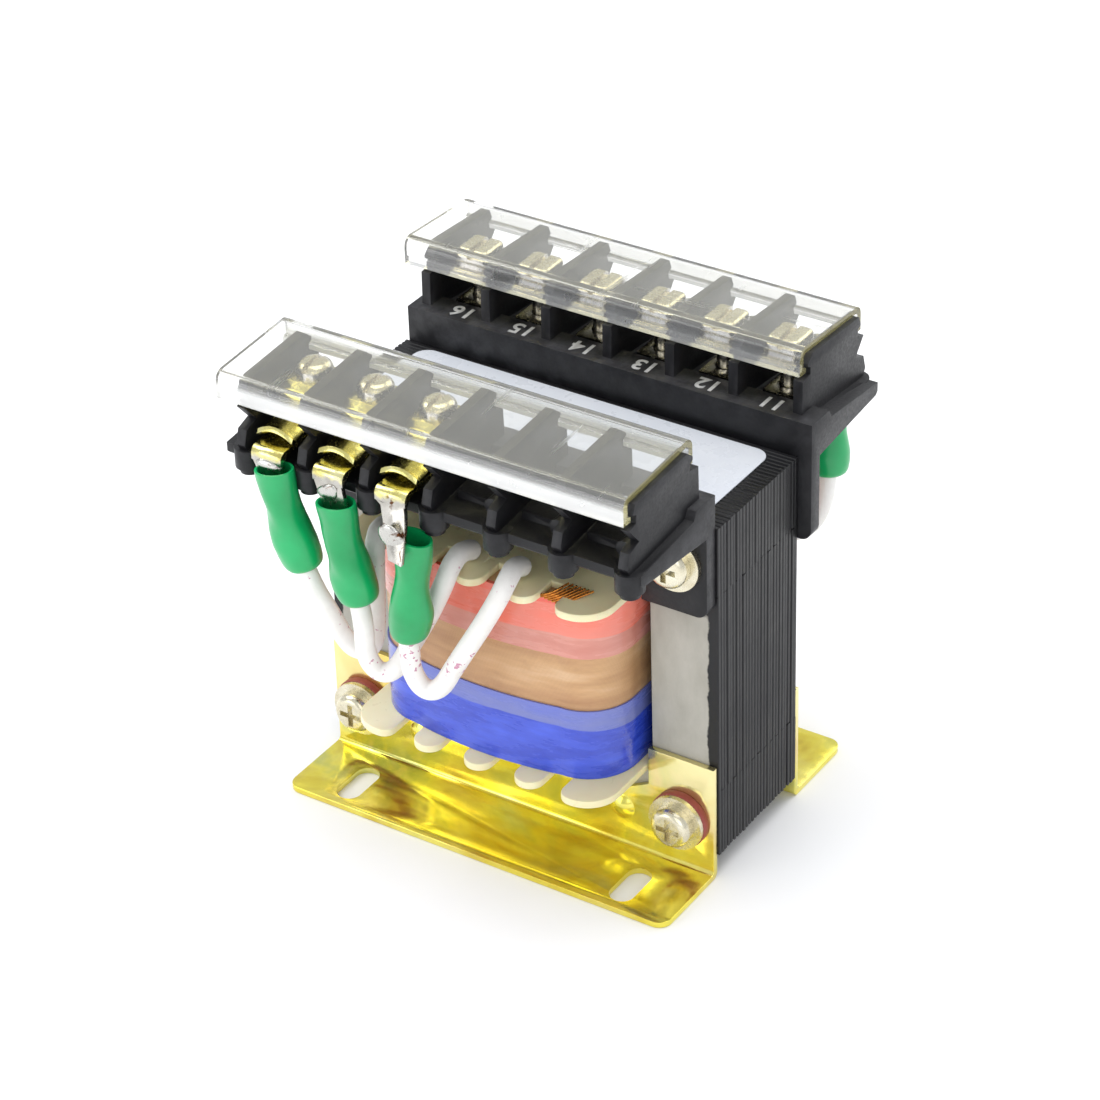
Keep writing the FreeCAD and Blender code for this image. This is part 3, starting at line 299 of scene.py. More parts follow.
def acrylic():
    look = Look("clear_acrylic")
    look.value("IOR", 1.47)
    look.value("Specular IOR Level", 0.62)
    ends = look.grey(look.math("ABSOLUTE", look.facing("Y")), 0.0, 1.0, 0.7, 0.9)
    under = look.grey(look.facing("Z"), 1.0, 0.0, -0.95, -0.85)
    # painted highlight: the upright lip of the front cover is less clear in a band below its bend, so its
    # white base colour shows there; the back one's is clear
    upright = look.grey(look.facing("X"), 0.0, 1.0, 0.90, 0.98)
    upright = look.math("MULTIPLY", upright, look.grey(look.axis("X"), 0.15, 1.0, -0.001, 0.001))
    height = look.axis("Z")
    above = look.grey(height, 0.25, 1.0, 0.0876, 0.0884)
    below = look.grey(height, 1.0, 0.0, 0.0905, 0.0914)
    band = look.math("MULTIPLY", above, below)
    highlight_strength = look.grey(look.noise(40, 3, vector=look.stretch(1, 0.3, 1)), 0.45, 0.62, 0.3, 0.7)
    clear = look.math("SUBTRACT", 0.92, look.math("MULTIPLY", look.math("MULTIPLY", upright, highlight_strength), band))
    look.link(clear, look.bsdf.inputs["Transmission Weight"])
    haze = look.ramp(look.noise(60, 5), [(0.3, (0.975, 0.978, 0.968)), (0.7, (0.995, 0.995, 0.988))])
    cut = look.mix(ends, haze, (0.90, 0.80, 0.30))
    look.colour(look.mix(look.math("MULTIPLY", under, 0.8), cut, (0.93, 0.86, 0.46)))
    # short straight scratches, most of them along the sheet
    streaks = look.noise(420, 3, vector=look.stretch(0.05, 1.0, 1.0, 0.5))
    cross = look.noise(520, 3, vector=look.stretch(1.0, 0.04, 1.0, 0.15))
    marks = look.math("MAXIMUM", look.grey(streaks, 0.0, 1.0, 0.66, 0.70),
                      look.grey(cross, 0.0, 1.0, 0.68, 0.72))
    look.rough(look.grey(marks, 0.03, 0.30))
    look.normal(look.bump(marks, 0.12, 0.00005))
    return look


def winding_look():
    look = Look("copper_winding")
    look.value("Metallic", 0.1)
    look.value("Coat Weight", 0.4)
    turns = look.wave(1250, "Z", 0.3)
    layer = look.noise(260, 4, vector=look.stretch(0.15, 0.15, 1.0))
    blot = look.noise(160, 4, 0.6)
    tone = look.ramp(layer, [(0.3, (0.52, 0.27, 0.12)), (0.55, (0.72, 0.43, 0.21)),
                             (0.75, (0.86, 0.60, 0.36))])
    tone = look.mix(look.grey(blot, 0.0, 0.35, 0.5, 0.75), tone, (0.34, 0.16, 0.08))
    look.colour(look.mix(look.grey(turns, 0.35, 0.0, 0.1, 0.6), tone, (0.22, 0.10, 0.045)))
    look.rough(look.grey(layer, 0.28, 0.48, 0.3, 0.7))
    look.normal(look.bump(turns, 0.5, 0.00012))
    return look


def tape_look(name, dark, light, laps=()):
    """Glossy film tape; each lap is (from height, colour) and lies over what is below it."""
    look = Look(name)
    look.value("Coat Weight", 0.5)
    look.value("Coat Roughness", 0.08)
    fine = look.noise(200, 4, vector=look.stretch(0.5, 0.5, 2.2))
    ridges = look.wave(520, "Z", 1.2)
    base = look.ramp(fine, [(0.3, dark), (0.7, light)])
    edge = look.math("ADD", look.axis("Z"), look.grey(look.noise(45, 3), -0.0004, 0.0004, 0.3, 0.7))
    for height, colour in laps:
        shade = look.mix(look.grey(fine, 0.0, 0.35, 0.3, 0.7), colour, light)
        base = look.mix(look.grey(edge, 0.0, 1.0, height, height + 0.00015), base, shade)
    look.colour(base)
    look.rough(look.grey(fine, 0.20, 0.36, 0.3, 0.7))
    look.normal(look.bump(ridges, 0.10, 0.0001, look.bump(look.noise(70, 3), 0.30, 0.0008)))
    return look


def tag_metal():
    """Yellow passivated strips, tinned and browned by the iron where they turn down."""
    look = Look("contact_metal")
    look.value("Metallic", 1.0)
    broad = look.noise(240, 4, 0.6)
    yellow = look.ramp(broad, [(0.3, (0.60, 0.52, 0.16)), (0.55, (0.80, 0.74, 0.30)),
                               (0.72, (0.86, 0.82, 0.52))])
    tin = look.ramp(look.noise(230, 4, 0.6), [(0.3, (0.36, 0.34, 0.30)), (0.7, (0.62, 0.60, 0.56))])
    burnt = look.grey(look.noise(330, 3, 0.6, distort=0.8), 0.0, 1.0, 0.60, 0.66)
    tin = look.mix(burnt, tin, (0.12, 0.05, 0.02))
    dull = look.ramp(broad, [(0.3, (0.34, 0.32, 0.25)), (0.7, (0.56, 0.54, 0.46))])
    yellow = look.mix(look.grey(look.axis("X"), 1.0, 0.0, -0.001, 0.001), yellow, dull)
    edge = look.math("ADD", look.axis("Z"), look.grey(look.noise(500, 3), -0.0006, 0.0006, 0.3, 0.7))
    look.colour(look.mix(look.grey(edge, 1.0, 0.0, 0.0797, 0.0806), yellow, tin))
    fine = look.noise(1500, 3)
    look.rough(look.grey(fine, 0.14, 0.30, 0.3, 0.7))
    look.normal(look.bump(look.noise(300, 3), 0.25, 0.0004, look.bump(fine, 0.1, 0.0001)))
    return look


def sleeving_look():
    look = Look("white_sleeving")
    weave = look.noise(1700, 2, vector=look.stretch(1.0, 1.0, 0.5))
    cross = look.noise(2600, 2)
    base = look.ramp(look.noise(200, 4), [(0.3, (0.84, 0.815, 0.78)), (0.7, (0.94, 0.92, 0.895))])
    tracer = look.math("MULTIPLY", look.grey(look.noise(900, 2), 0.0, 1.0, 0.62, 0.66),
                       look.grey(look.noise(120, 2), 0.0, 1.0, 0.56, 0.60))
    look.colour(look.mix(tracer, base, (0.58, 0.27, 0.38)))
    look.rough(look.grey(cross, 0.5, 0.75, 0.3, 0.7))
    look.value("Sheen Weight", 0.2)
    look.normal(look.bump(weave, 0.35, 0.00015, look.bump(cross, 0.2, 0.0001)))
    return look


def label_look():
    look = Look("label_film")
    soft = look.noise(30, 4)
    look.colour(look.ramp(soft, [(0.3, (0.55, 0.58, 0.64)), (0.7, (0.64, 0.66, 0.70))]))
    marks = look.noise(260, 4)
    look.rough(look.grey(marks, 0.24, 0.38, 0.4, 0.7))
    look.normal(look.bump(marks, 0.04, 0.0001))
    return look


red_low, red_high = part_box("red_tape_band")
blue_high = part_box("blue_tape_band")[1]
RED_LAP = red_low.z + 0.0042
RED_TURN = red_high.z - 0.0012
BLUE_LAP = blue_high.z - 0.0042
LOOKS = {
    "black_paint": black_varnish(),
    "yellow_zinc": zinc_yellow(),
    "zinc": metal_look("pale_zinc", (0.62, 0.56, 0.40), (0.82, 0.78, 0.63), 0.18, 0.34),
    "nickel": metal_look("nickel", (0.62, 0.58, 0.52), (0.80, 0.77, 0.72), 0.16, 0.32),
    "yellow_contact": tag_metal(),
    "red_fibre": plain_look("red_fibre", (0.24, 0.035, 0.030), (0.36, 0.080, 0.065), 0.4, 0.6, bump=0.2),
    "cream_plastic": plain_look("cream_plastic", (0.82, 0.74, 0.43), (0.90, 0.84, 0.56), 0.26, 0.40,
                                bump=0.05, scale=60, coat=0.2),
    "copper_wire": winding_look(),
    "insulation_paper": plain_look("insulation_paper", (0.50, 0.42, 0.25), (0.62, 0.54, 0.36), 0.6, 0.8,
                                   bump=0.2),
    "red_tape": tape_look("red_tape", (0.60, 0.22, 0.17), (0.72, 0.32, 0.26),
                          [(RED_LAP, (0.86, 0.19, 0.13)), (RED_TURN, (0.88, 0.10, 0.055))]),
    "blue_tape": tape_look("blue_tape", (0.016, 0.042, 0.46), (0.055, 0.11, 0.72),
                           [(BLUE_LAP, (0.17, 0.20, 0.50))]),
    "dark_moulding": moulding(),
    "clear_acrylic": acrylic(),
    "label_film": label_look(),
    "green_sleeve": plain_look("green_sleeve", (0.002, 0.31, 0.088), (0.005, 0.43, 0.130), 0.28, 0.36,
                               scale=90, coat=0.25),
    "white_sleeving": sleeving_look(),
}
slot_of = {p["node"]: p["material_slot"] for p in frame["record"]["subparts"]}
LOOKS["cream_plastic"].value("Subsurface Weight", 0.15)
LOOKS["cream_plastic"].value("Subsurface Scale", 0.002)


# helpers
def dress(obj, slot):
    """Gives a piece the finish of a material slot."""
    obj.data.materials.clear()
    obj.data.materials.append(LOOKS[slot].mat)
    return obj


def adopt(obj, slot, *stands_for):
    """A finished piece: it rides on the root body and stands for nodes of the construction."""
    dress(obj, slot)
    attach(obj, "root")
    if stands_for:
        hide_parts(*stands_for)
    return obj


def from_bmesh(name, bm):
    mesh = bpy.data.meshes.new(name)
    bm.to_mesh(mesh)
    bm.free()
    obj = bpy.data.objects.new(name, mesh)
    scene.collection.objects.link(obj)
    return obj


def smooth_by_angle(obj, degrees):
    """Marks the sharp edges and smooths the rest, in the mesh itself."""
    bm = bmesh.new()
    bm.from_mesh(obj.data)
    limit = math.radians(degrees)
    for f in bm.faces:
        f.smooth = True
    for e in bm.edges:
        e.smooth = len(e.link_faces) == 2 and e.calc_face_angle(0) < limit
    bm.to_mesh(obj.data)
    bm.free()


def eased(node, width, shape=None):
    """A copy of a node with its sharp edges eased, as moulded or cut edges are."""
    source = nodes[node]
    bm = bmesh.new()
    bm.from_mesh(source.data)
    bmesh.ops.remove_doubles(bm, verts=bm.verts, dist=1e-6)
    bmesh.ops.dissolve_limit(bm, angle_limit=math.radians(0.6), verts=bm.verts, edges=bm.edges)
    if shape:
        shape(bm)
    obj = from_bmesh(node + "_finished", bm)
    mod = obj.modifiers.new("ease", "BEVEL")
    mod.width = width
    mod.segments = 2
    mod.limit_method = "ANGLE"
    mod.angle_limit = math.radians(30)
    mod.use_clamp_overlap = True
    mod.harden_normals = False
    view = bpy.context.view_layer
    view.update()
    made = bpy.data.meshes.new_from_object(obj.evaluated_get(view.depsgraph))
    obj.modifiers.clear()
    old = obj.data
    obj.data = made
    bpy.data.meshes.remove(old)
    smooth_by_angle(obj, 40)
    return adopt(obj, slot_of[node], node)


def cord_curve(name, points, radius):
    """A round cord on one smooth spline."""
    data = bpy.data.curves.new(name, "CURVE")
    data.dimensions = "3D"
    data.resolution_u = 10
    data.bevel_depth = radius
    data.bevel_resolution = 6
    data.use_fill_caps = True
    line = data.splines.new("NURBS")
    line.points.add(len(points) - 1)
    for p, co in zip(line.points, points):
        p.co = (co.x, co.y, co.z, 1)
    line.order_u = 3
    line.use_endpoint_u = True
    obj = bpy.data.objects.new(name, data)
    scene.collection.objects.link(obj)
    return obj


def cell_centre(k):
    """The middle of a terminal cell, counted from the +Y end of the front block."""
    return FIRST_CELL - CELL_PITCH * k


def arch_tongues(bm, centres, width, lift):
    """The tongues of the bridge clamps are arched across their width."""
    root, run = 0.0310, 0.0045
    for c in centres:
        for share in (-0.75, -0.5, -0.25, 0.0, 0.25, 0.5, 0.75):
            geom = bm.verts[:] + bm.edges[:] + bm.faces[:]
            bmesh.ops.bisect_plane(bm, geom=geom, dist=1e-7, plane_co=(0, c + share * width / 2, 0),
                                   plane_no=(0, 1, 0))
    for v in bm.verts:
        c = min(centres, key=lambda y: abs(v.co.y - y))
        along = min(max((abs(v.co.x) - root) / run, 0), 1)
        across = 1 - min(abs(v.co.y - c) / (width / 2), 1) ** 2
        v.co.z += lift * along * along * (3 - 2 * along) * (across - 0.25)


def hang_lug(bm):
    """The third tag stands off in front of its sleeve, leaning to the right."""
    bend, length = 0.0790, 0.0105
    for height in (0.0780, 0.0765, 0.0750, 0.0735, 0.0720, 0.0705):
        bmesh.ops.bisect_plane(bm, geom=bm.verts[:] + bm.edges[:] + bm.faces[:], dist=1e-7,
                               plane_co=(0, 0, height), plane_no=(0, 0, 1))
    for v in bm.verts:
        if abs(v.co.y - cell_centre(3)) < 0.006 and v.co.z < 0.0789 and v.co.x > 0.0395:
            down = bend - v.co.z
            centre = cell_centre(3) + 0.17 * down
            narrow = 1 - 0.30 * min(down / length, 1) ** 2
            v.co.x += 0.30 * down + 10.0 * down * down + 0.16 * (v.co.y - centre)
            v.co.y = centre + (v.co.y - centre) * narrow + 0.12 * down + 0.0004
            v.co.z = bend - down * 0.84


def shorter_ears(bm):
    """The ears of the terminal blocks end 3.4 mm higher than in the construction, as in the photograph."""
    for v in bm.verts:
        if abs(v.co.y) > EAR_SIDE and v.co.z < EAR_BOTTOM:
            v.co.z += EAR_LIFT


def press_dimples(bm):
    """Two round dimples in the web, pressed outwards, take the place of its two plain holes."""
    for side in (-1, 1):
        centre = Vector((0, side * DIMPLE_SIDE, DIMPLE_HEIGHT))
        rim = [v for v in bm.verts
               if abs(math.hypot(v.co.y - centre.y, v.co.z - centre.z) - DIMPLE_RADIUS) < 0.00006]
        wall = [f for f in bm.faces if all(v in rim for v in f.verts)]
        bmesh.ops.delete(bm, geom=wall, context="FACES_ONLY")
        middle = sum(abs(v.co.x) for v in rim) / len(rim)
        for outer in (True, False):
            ring = [v for v in rim if (abs(v.co.x) > middle) == outer]
            ring.sort(key=lambda v: math.atan2(v.co.z - centre.z, v.co.y - centre.y))
            face = ring[0].co.x
            rise = math.copysign(DIMPLE_RISE, face)
            edge = [v.co.copy() for v in ring]
            for share in (0.92, 0.82, 0.70, 0.55, 0.38, 0.20):
                inner = []
                for co in edge:
                    at = (face + rise * (1 - share * share), centre.y + (co.y - centre.y) * share,
                          centre.z + (co.z - centre.z) * share)
                    inner.append(bm.verts.new(at))
                for i, v in enumerate(ring):
                    j = (i + 1) % len(ring)
                    bm.faces.new((v, ring[j], inner[j], inner[i]))
                ring = inner
            bm.faces.new(ring)
    bmesh.ops.recalc_face_normals(bm, faces=bm.faces)


def slim_rings(bm):
    """The fibre washers are hardly wider than the steel washers over them."""
    for v in bm.verts:
        y, z = math.copysign(BOLT_SIDE, v.co.y), LOW_BOLT
        if math.hypot(v.co.y - y, v.co.z - z) > 0.0040:
            v.co.y = y + (v.co.y - y) * 0.93
            v.co.z = z + (v.co.z - z) * 0.93


for name, obj in nodes.items():
    dress(obj, slot_of[name])


# laminations
def stack_tree():
    """Geometry Nodes that repeat one sheet through the core, each copy a little out of line."""
    tree = bpy.data.node_groups.new("sheet_stack", "GeometryNodeTree")
    sockets = tree.interface
    for name, kind in (("Sheet", "Geometry"), ("Count", "Int"), ("Step", "Float"), ("Slip", "Float"),
                       ("Seed", "Int"), ("Material", "Material")):
        sockets.new_socket(name, in_out="INPUT", socket_type="NodeSocket" + kind)
    sockets.new_socket("Stack", in_out="OUTPUT", socket_type="NodeSocketGeometry")
    given = tree.nodes.new("NodeGroupInput").outputs
    line = tree.nodes.new("GeometryNodeMeshLine")
    step = tree.nodes.new("ShaderNodeCombineXYZ")
    stray = tree.nodes.new("FunctionNodeRandomValue")
    stray.data_type = "FLOAT_VECTOR"
    stray.inputs[0].default_value = (0, -1, -1)
    stray.inputs[1].default_value = (0, 1, 0.5)
    shift = tree.nodes.new("ShaderNodeVectorMath")
    shift.operation = "SCALE"
    place = tree.nodes.new("GeometryNodeSetPosition")
    copies = tree.nodes.new("GeometryNodeInstanceOnPoints")
    real = tree.nodes.new("GeometryNodeRealizeInstances")
    paint = tree.nodes.new("GeometryNodeSetMaterial")
    result = tree.nodes.new("NodeGroupOutput")
    for start, end in (
            (given["Count"], line.inputs["Count"]), (given["Step"], step.inputs["X"]),
            (step.outputs[0], line.inputs["Offset"]), (given["Seed"], stray.inputs["Seed"]),
            (stray.outputs[0], shift.inputs[0]), (given["Slip"], shift.inputs["Scale"]),
            (line.outputs[0], place.inputs["Geometry"]), (shift.outputs[0], place.inputs["Offset"]),
            (place.outputs[0], copies.inputs["Points"]), (given["Sheet"], copies.inputs["Instance"]),
            (copies.outputs[0], real.inputs[0]), (real.outputs[0], paint.inputs["Geometry"]),
            (given["Material"], paint.inputs["Material"]), (paint.outputs[0], result.inputs[0])):
        tree.links.new(start, end)
    return tree


def sheet(outline, x0, x1, soft=0.00016):
    """One stamped sheet between two depths, with its edges a little soft."""
    points = [Vector(p) for p in outline]
    inset = []
    for i, p in enumerate(points):
        before, after = (p - points[i - 1]).normalized(), (points[(i + 1) % len(points)] - p).normalized()
        inset.append(p + (Vector((-before.y, before.x)) + Vector((-after.y, after.x))) * soft)
    bm = bmesh.new()
    rings = []
    for x, ring in ((x0, inset), (x0 + soft, points), (x1 - soft, points), (x1, inset)):
        rings.append([bm.verts.new((x, p.x, p.y)) for p in ring])
    for a, b in zip(rings, rings[1:]):
        for i in range(len(points)):
            j = (i + 1) % len(points)
            bm.faces.new((a[i], b[i], b[j], a[j]))
    bm.faces.new(rings[0])
    bm.faces.new(rings[-1][::-1])
    return from_bmesh("sheet", bm)


def lamination_stack():
    """E and I sheets, turned about layer by layer."""
    lo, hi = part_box("e_laminations")
    low, high, half = lo.z, hi.z, hi.y
    yoke, leg, tongue, gap = 0.014, 0.014, 0.014, 0.00006
    layers, air = 26, 0.00004
    pitch = (hi.x - lo.x) / layers
    root, tip = low + yoke + gap, high - yoke
    inner = half - leg
    e_sheet = [(-half, high), (-half, root), (-inner, root), (-inner, tip), (-tongue, tip), (-tongue, root),
               (tongue, root), (tongue, tip), (inner, tip), (inner, root), (half, root), (half, high)]
    i_sheet = [(-half, low + yoke), (-half, low), (half, low), (half, low + yoke)]
    tree = stack_tree()
    key = {item.name: item.identifier for item in tree.interface.items_tree if item.in_out == "INPUT"}
    whole = bmesh.new()
    for layer in (0, 1):
        for seed, slip, outline in ((3, 0.00012, e_sheet), (7, 0.00005, i_sheet)):
            if layer:
                outline = [(y, low + high - z) for y, z in outline][::-1]
            x0 = lo.x + pitch * layer + air
            obj = sheet(outline, x0, x0 + pitch - 2 * air)
            mod = obj.modifiers.new("stack", "NODES")
            mod.node_group = tree
            for name, value in (("Count", layers // 2), ("Step", 2 * pitch), ("Slip", slip),
                                ("Seed", seed + layer), ("Material", LOOKS["black_paint"].mat)):
                mod[key[name]] = value
            view = bpy.context.view_layer
            view.update()
            made = bpy.data.meshes.new_from_object(obj.evaluated_get(view.depsgraph))
            whole.from_mesh(made)
            bpy.data.objects.remove(obj)
            bpy.data.meshes.remove(made)
    bmesh.ops.recalc_face_normals(whole, faces=whole.faces)
    obj = from_bmesh("core_sheets", whole)
    return adopt(obj, "black_paint", "e_laminations", "i_laminations")


lamination_stack()
for name, width in (("front_terminal_block", 0.00022), ("back_terminal_block", 0.00022),
                    ("coil_bobbin", 0.0003), ("back_contacts", 0.0001)):
    eased(name, width, shape=shorter_ears if "block" in name else None)
eased("front_bracket", 0.00012, shape=press_dimples)
eased("back_bracket", 0.00012, shape=press_dimples)
eased("fibre_washers", 0.0001, shape=slim_rings)
eased("front_contacts", 0.0001, shape=hang_lug)
eased("front_saddle_clamps", 0.0001,
      shape=lambda bm: arch_tongues(bm, [cell_centre(k) for k in (3, 4, 5)], 0.0076, 0.0013))
eased("back_saddle_clamps", 0.0001,
      shape=lambda bm: arch_tongues(bm, [-cell_centre(k) for k in range(6)], 0.0076, 0.0013))


def soft_sleeve(mark, top, bottom, lean, seed, back=False, slim=1.0):
    """A soft sleeve, pressed flat over the tag and swollen towards the wire."""
    shape = [(0.0, 4.10, 2.7), (0.08, 4.10, 2.75), (0.22, 3.80, 2.85), (0.38, 3.45, 3.0), (0.50, 3.55, 3.2),
             (0.62, 3.95, 3.5), (0.75, 4.25, 3.8), (0.86, 4.25, 3.7), (0.94, 4.00, 3.5), (0.98, 3.60, 3.3),
             (1.0, 3.15, 3.1)]
    ts, wide, deep = zip(*shape)
    top, bottom = Vector(top), Vector(bottom)
    axis = bottom - top
    side = (Vector((0, 1, 0)) - axis * (axis.y / axis.dot(axis))).normalized()
    away = axis.cross(side).normalized()
    turn = random.Random(seed)
    bumps = [(turn.uniform(0.05, 0.14), turn.randint(1, 3), turn.uniform(2, 5), turn.uniform(0, 6))
             for _ in range(5)]
    rings, count = 44, 40
    bm = bmesh.new()

    def ring(t, shrink):
        a, b = np.interp(t, ts, wide) * slim, np.interp(t, ts, deep)
        bend = math.sin(math.pi * t) * lean
        loop = []
        for i in range(count):
            w = 2 * math.pi * i / count
            lump = sum(h * math.cos(n * w + f * t * 3 + g) for h, n, f, g in bumps)
            lump *= min(1, 4 * (1 - t), 0.3 + 3 * t)
            ra, rb = a - shrink + lump * 0.7, b - shrink + lump * 0.7
            p = top + axis * t + side * (ra * math.cos(w) + bend) + away * (rb * math.sin(w))
            loop.append(bm.verts.new(p * MM))
        return loop

    loops = [ring(k / (rings - 1), 0.0) for k in range(rings)]
    loops += [ring(k / (rings - 1), 0.55) for k in range(rings)][::-1]
    loops.append(loops[0])
    for p, q in zip(loops, loops[1:]):
        for i in range(count):
            j = (i + 1) % count
            bm.faces.new((p[i], p[j], q[j], q[i]))
    bmesh.ops.recalc_face_normals(bm, faces=bm.faces)
    bmesh.ops.smooth_vert(bm, verts=bm.verts, factor=0.4, use_axis_x=True, use_axis_y=True, use_axis_z=True)
    if back:
        bm.transform(Matrix.Rotation(math.pi, 4, "Z"))
    obj = from_bmesh("soft_sleeve_" + mark, bm)
    smooth_by_angle(obj, 60)
    adopt(obj, "green_sleeve", "green_sleeve_" + mark)


soft_sleeve("1", (40.85, -32.2, 78.4), (39.1, -28.3, 58.7), -0.5, 3)
soft_sleeve("2", (40.85, -19.1, 75.6), (39.25, -16.4, 55.5), -0.3, 5)
soft_sleeve("3", (40.2, -3.3, 73.2), (39.25, -6.1, 51.4), 0.3, 9, slim=0.92)
soft_sleeve("4", (40.55, -33.6, 73.4), (39.2, -34.0, 56.0), 0.3, 12, True)
soft_sleeve("5", (40.55, 32.4, 73.2), (39.2, 32.8, 56.0), -0.3, 15, True)


def solder(name, place, size, turn, seed):
    """A lump of solder on a tag."""
    bm = bmesh.new()
    bmesh.ops.create_icosphere(bm, subdivisions=3, radius=1.0)
    source = random.Random(seed)
    waves = [(source.uniform(0.05, 0.16), Vector([source.uniform(-3, 3) for _ in range(3)]),
              source.uniform(0, 6)) for _ in range(6)]
    for v in bm.verts:
        v.co *= 1 + sum(h * math.sin(k.dot(v.co) + g) for h, k, g in waves)
        v.co = Vector((v.co.x * size[0], v.co.y * size[1], v.co.z * size[2]))
    bm.transform(Matrix.Rotation(turn, 4, "X"))
    bm.transform(Matrix.Translation(Vector(place)))
    bm.transform(Matrix.Scale(MM, 4))
    obj = from_bmesh(name, bm)
    smooth_by_angle(obj, 80)
    obj.data.materials.append(SOLDER.mat)
    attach(obj, "root")


SOLDER = metal_look("solder", (0.40, 0.38, 0.35), (0.62, 0.61, 0.58), 0.18, 0.32, 300)
flux = SOLDER.grey(SOLDER.noise(420, 3, 0.6, distort=0.8), 0.0, 1.0, 0.58, 0.66)
SOLDER.colour(SOLDER.mix(flux, (0.55, 0.54, 0.51), (0.10, 0.035, 0.012)))
solder("solder_1", (40.9, -33.3, 78.9), (0.5, 2.3, 0.9), 0.1, 4)
solder("solder_2", (40.95, -20.2, 77.2), (0.5, 2.4, 1.7), 0.1, 8)
solder("solder_3", (43.3, -5.7, 74.4), (0.7, 2.1, 2.9), 0.25, 6)


def loose_turns():
    """A few turns of the winding show between two fingers of the top flange."""
    for i in range(7):
        y0, drop = 15.4 + 0.75 * i, 0.10 * i
        pts = [Vector((27.0, y0 - 2.2, 59.3 - drop)), Vector((27.2, y0, 60.2)),
               Vector((26.2, y0 + 1.6, 61.2)), Vector((24.2, y0 + 2.6 + 0.1 * i, 61.7))]
        obj = cord_curve("winding_turn_%d" % (i + 1), [p * MM for p in pts], 0.00022)
        obj.data.bevel_resolution = 2
        mesh = bpy.data.meshes.new_from_object(obj.evaluated_get(bpy.context.evaluated_depsgraph_get()))
        name = obj.name
        bpy.data.objects.remove(obj)
        wire = bpy.data.objects.new(name, mesh)
        scene.collection.objects.link(wire)
        mesh.materials.clear()
        mesh.materials.append(BARE.mat)
        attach(wire, "root")


BARE = metal_look("winding_wire", (0.30, 0.09, 0.015), (0.74, 0.30, 0.06), 0.2, 0.35, 500)
loose_turns()

# lead-out wires: at the back or not, the sleeve's top and bottom, then the free route, in millimetres
WIRES = {
    "1": (False, (40.85, -33.3, 78.0), (39.1, -28.2, 58.0),
          [(36.6, -25.0, 47.6), (34.6, -24.2, 42.0), (33.4, -22.4, 39.0), (32.4, -19.6, 39.8),
           (32.3, -18.6, 44.0), (32.8, -17.8, 51.5), (33.2, -17.2, 59.0), (32.0, -17.8, 63.0),
           (29.0, -18.8, 64.2), (25.8, -19.6, 62.6)]),
    "2": (False, (40.85, -19.6, 75.2), (39.25, -16.4, 54.2),
          [(38.2, -16.9, 42.8), (37.2, -15.0, 38.9), (36.6, -11.6, 39.9), (34.6, -9.2, 45.4),
           (33.1, -5.6, 52.8), (33.0, -2.6, 59.4), (31.4, -1.8, 63.2), (28.0, -1.7, 64.3),
           (25.0, -1.8, 62.6)]),
    "3": (False, (40.85, -6.0, 72.6), (39.25, -6.2, 50.0),
          [(38.0, -6.9, 42.6), (37.4, -5.0, 38.8), (36.6, -1.8, 39.4), (35.9, 1.2, 45.4),
           (34.9, 6.4, 54.6), (33.3, 9.3, 60.8), (31.2, 10.0, 64.0), (28.0, 9.5, 64.8),
           (25.2, 8.8, 62.7)]),
    "4": (True, (40.55, -33.6, 73.0), (39.2, -34.0, 56.0),
          [(38.2, -32.8, 46.6), (37.0, -30.2, 42.8), (35.2, -26.2, 42.6), (34.0, -22.8, 46.0),
           (33.4, -20.0, 52.4), (33.2, -18.2, 59.0), (32.0, -18.0, 63.0), (29.0, -18.8, 64.2),
           (25.8, -19.6, 62.6)]),
    "5": (True, (40.55, 32.4, 73.0), (39.2, 32.8, 56.0),
          [(38.2, 31.4, 47.2), (36.8, 28.6, 43.6), (35.0, 24.8, 44.0), (33.8, 21.9, 48.0),
           (33.3, 19.6, 54.0), (33.2, 18.4, 59.4), (32.0, 18.2, 63.0), (29.0, 18.9, 64.2),
           (25.8, 19.6, 62.6)]),
}


def full_route(back, top, bottom, route):
    """The wire starts inside its sleeve and leaves it along the sleeve's own direction."""
    way = (Vector(bottom) - Vector(top)).normalized()
    pts = [Vector(bottom) - way * 4, Vector(bottom) + way * 3] + [Vector(p) for p in route]
    if back:
        pts = [Vector((-p.x, -p.y, p.z)) for p in pts]
    return [p * MM for p in pts]


def curve_length(obj):
    """The length of a cord along its middle line."""
    data = obj.data.copy()
    data.bevel_depth = 0
    probe = bpy.data.objects.new("probe", data)
    scene.collection.objects.link(probe)
    bpy.context.view_layer.update()
    mesh = probe.evaluated_get(bpy.context.evaluated_depsgraph_get()).to_mesh()
    co = [v.co.copy() for v in mesh.vertices]
    bpy.data.objects.remove(probe)
    return sum((b - a).length for a, b in zip(co, co[1:]))


for mark, item in WIRES.items():
    pts = full_route(*item)
    obj = cord_curve("sleeved_wire_" + mark, pts, 0.00185)
    adopt(obj, "white_sleeving", "lead_wire_" + mark)
    length = curve_length(obj)
    print("wire", mark, round(length * 1000, 1), "mm")


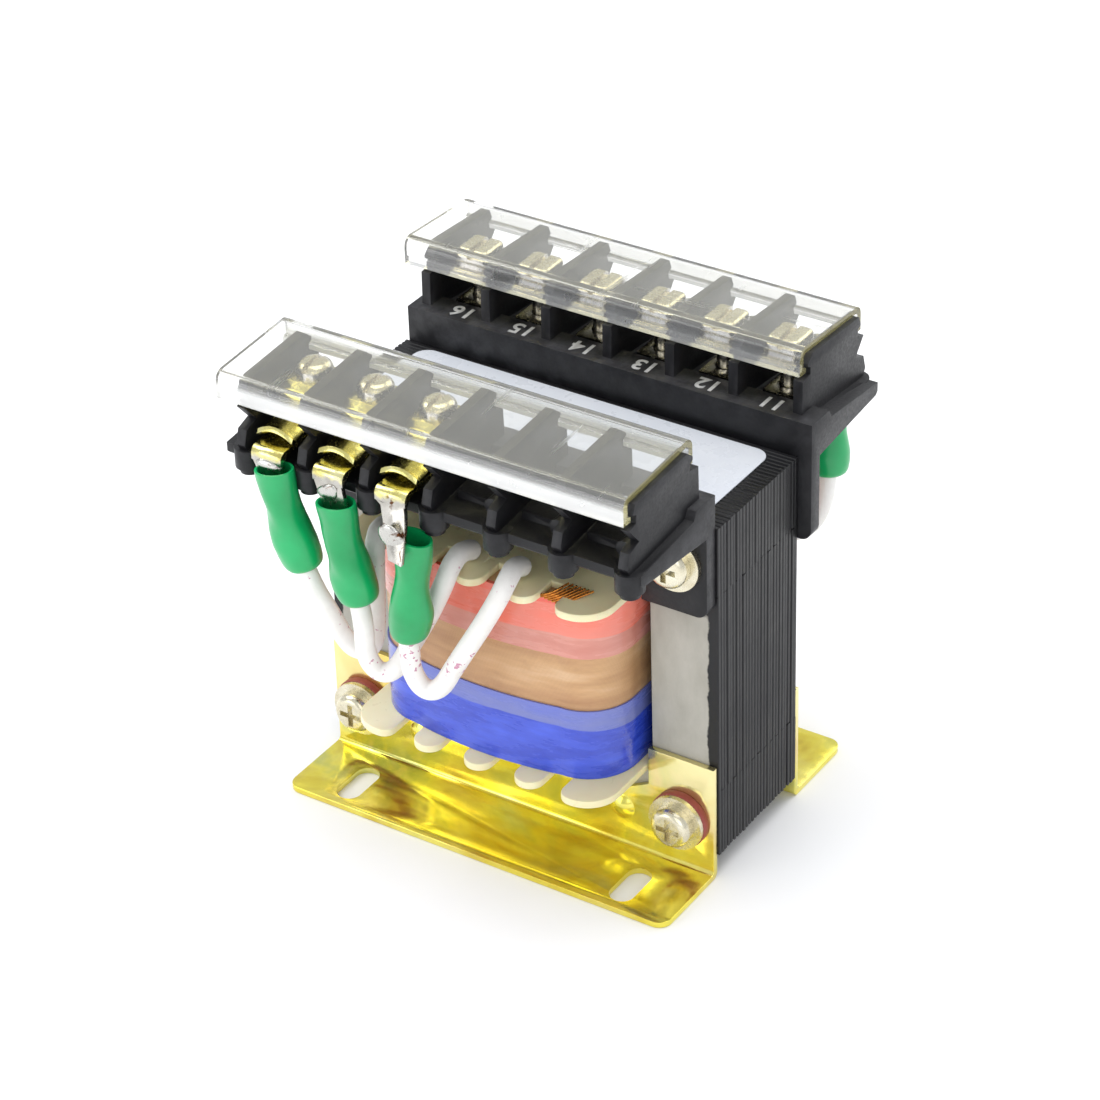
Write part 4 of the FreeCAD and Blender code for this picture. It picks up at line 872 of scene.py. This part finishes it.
def ledge_numbers():
    """Numbers in white on the ledge of the back block, read from the back."""
    look = Look("number_white")
    look.colour(look.ramp(look.noise(900, 3), [(0.3, (0.36, 0.36, 0.36)), (0.7, (0.58, 0.58, 0.58))]))
    look.value("Roughness", 0.5)
    for k in range(6):
        data = bpy.data.curves.new("number", "FONT")
        data.body = str(16 - k)
        data.size = 0.0050
        data.align_x = "CENTER"
        data.align_y = "CENTER"
        data.offset = 0.00010
        data.extrude = 0.00004
        data.resolution_u = 3
        text = bpy.data.objects.new("number", data)
        scene.collection.objects.link(text)
        bpy.context.view_layer.update()
        mesh = bpy.data.meshes.new_from_object(text.evaluated_get(bpy.context.evaluated_depsgraph_get()))
        bpy.data.objects.remove(text)
        y = 0.0010 - cell_centre(k)
        turn = Matrix(((0, 1, 0), (-1, 0, 0), (0, 0, 1))).to_4x4()
        turn.translation = Vector((-0.0174, y, LEDGE_TOP + 0.00003))
        mesh.transform(turn)
        obj = bpy.data.objects.new("terminal_number_%d" % (16 - k), mesh)
        scene.collection.objects.link(obj)
        obj.data.materials.clear()
        obj.data.materials.append(look.mat)
        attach(obj, "root")


ledge_numbers()


# floor and light
def stage_set():
    """A pale floor and soft lamps all round."""
    mesh = bpy.data.meshes.new("floor")
    s = 3.0
    mesh.from_pydata([(-s, -s, 0), (s, -s, 0), (s, s, 0), (-s, s, 0)], [], [(0, 1, 2, 3)])
    floor = bpy.data.objects.new("floor", mesh)
    scene.collection.objects.link(floor)
    floor.location.z = -0.00005
    look = Look("pale_floor")
    look.colour(look.ramp(look.noise(4, 2), [(0.3, (0.86, 0.86, 0.865)), (0.7, (0.90, 0.90, 0.90))]))
    look.value("Roughness", 0.7)
    floor.data.materials.append(look.mat)
    world = bpy.data.worlds.new("studio")
    world.use_nodes = True
    world.node_tree.nodes["Background"].inputs["Color"].default_value = (0.95, 0.97, 1.0, 1)
    world.node_tree.nodes["Background"].inputs["Strength"].default_value = 0.80
    scene.world = world
    for name, place, size, power in (
            ("key", (0.10, -0.75, 0.85), 0.6, 4.6),
            ("fill", (0.85, 0.55, 0.55), 0.8, 2.4),
            ("top", (-0.1, 0.05, 1.0), 0.7, 4.2),
            ("low", (0.85, -0.50, 0.20), 0.5, 1.7),
            ("back", (-0.8, 0.2, 0.6), 0.6, 2.6)):
        data = bpy.data.lights.new(name, "AREA")
        data.energy = power
        data.size = size
        lamp = bpy.data.objects.new(name, data)
        scene.collection.objects.link(lamp)
        lamp.location = place
        aim = Vector((0, 0, 0.05)) - Vector(place)
        lamp.rotation_mode = "QUATERNION"
        lamp.rotation_quaternion = aim.to_track_quat("-Z", "Y")


stage_set()
scene.view_settings.view_transform = "Standard"
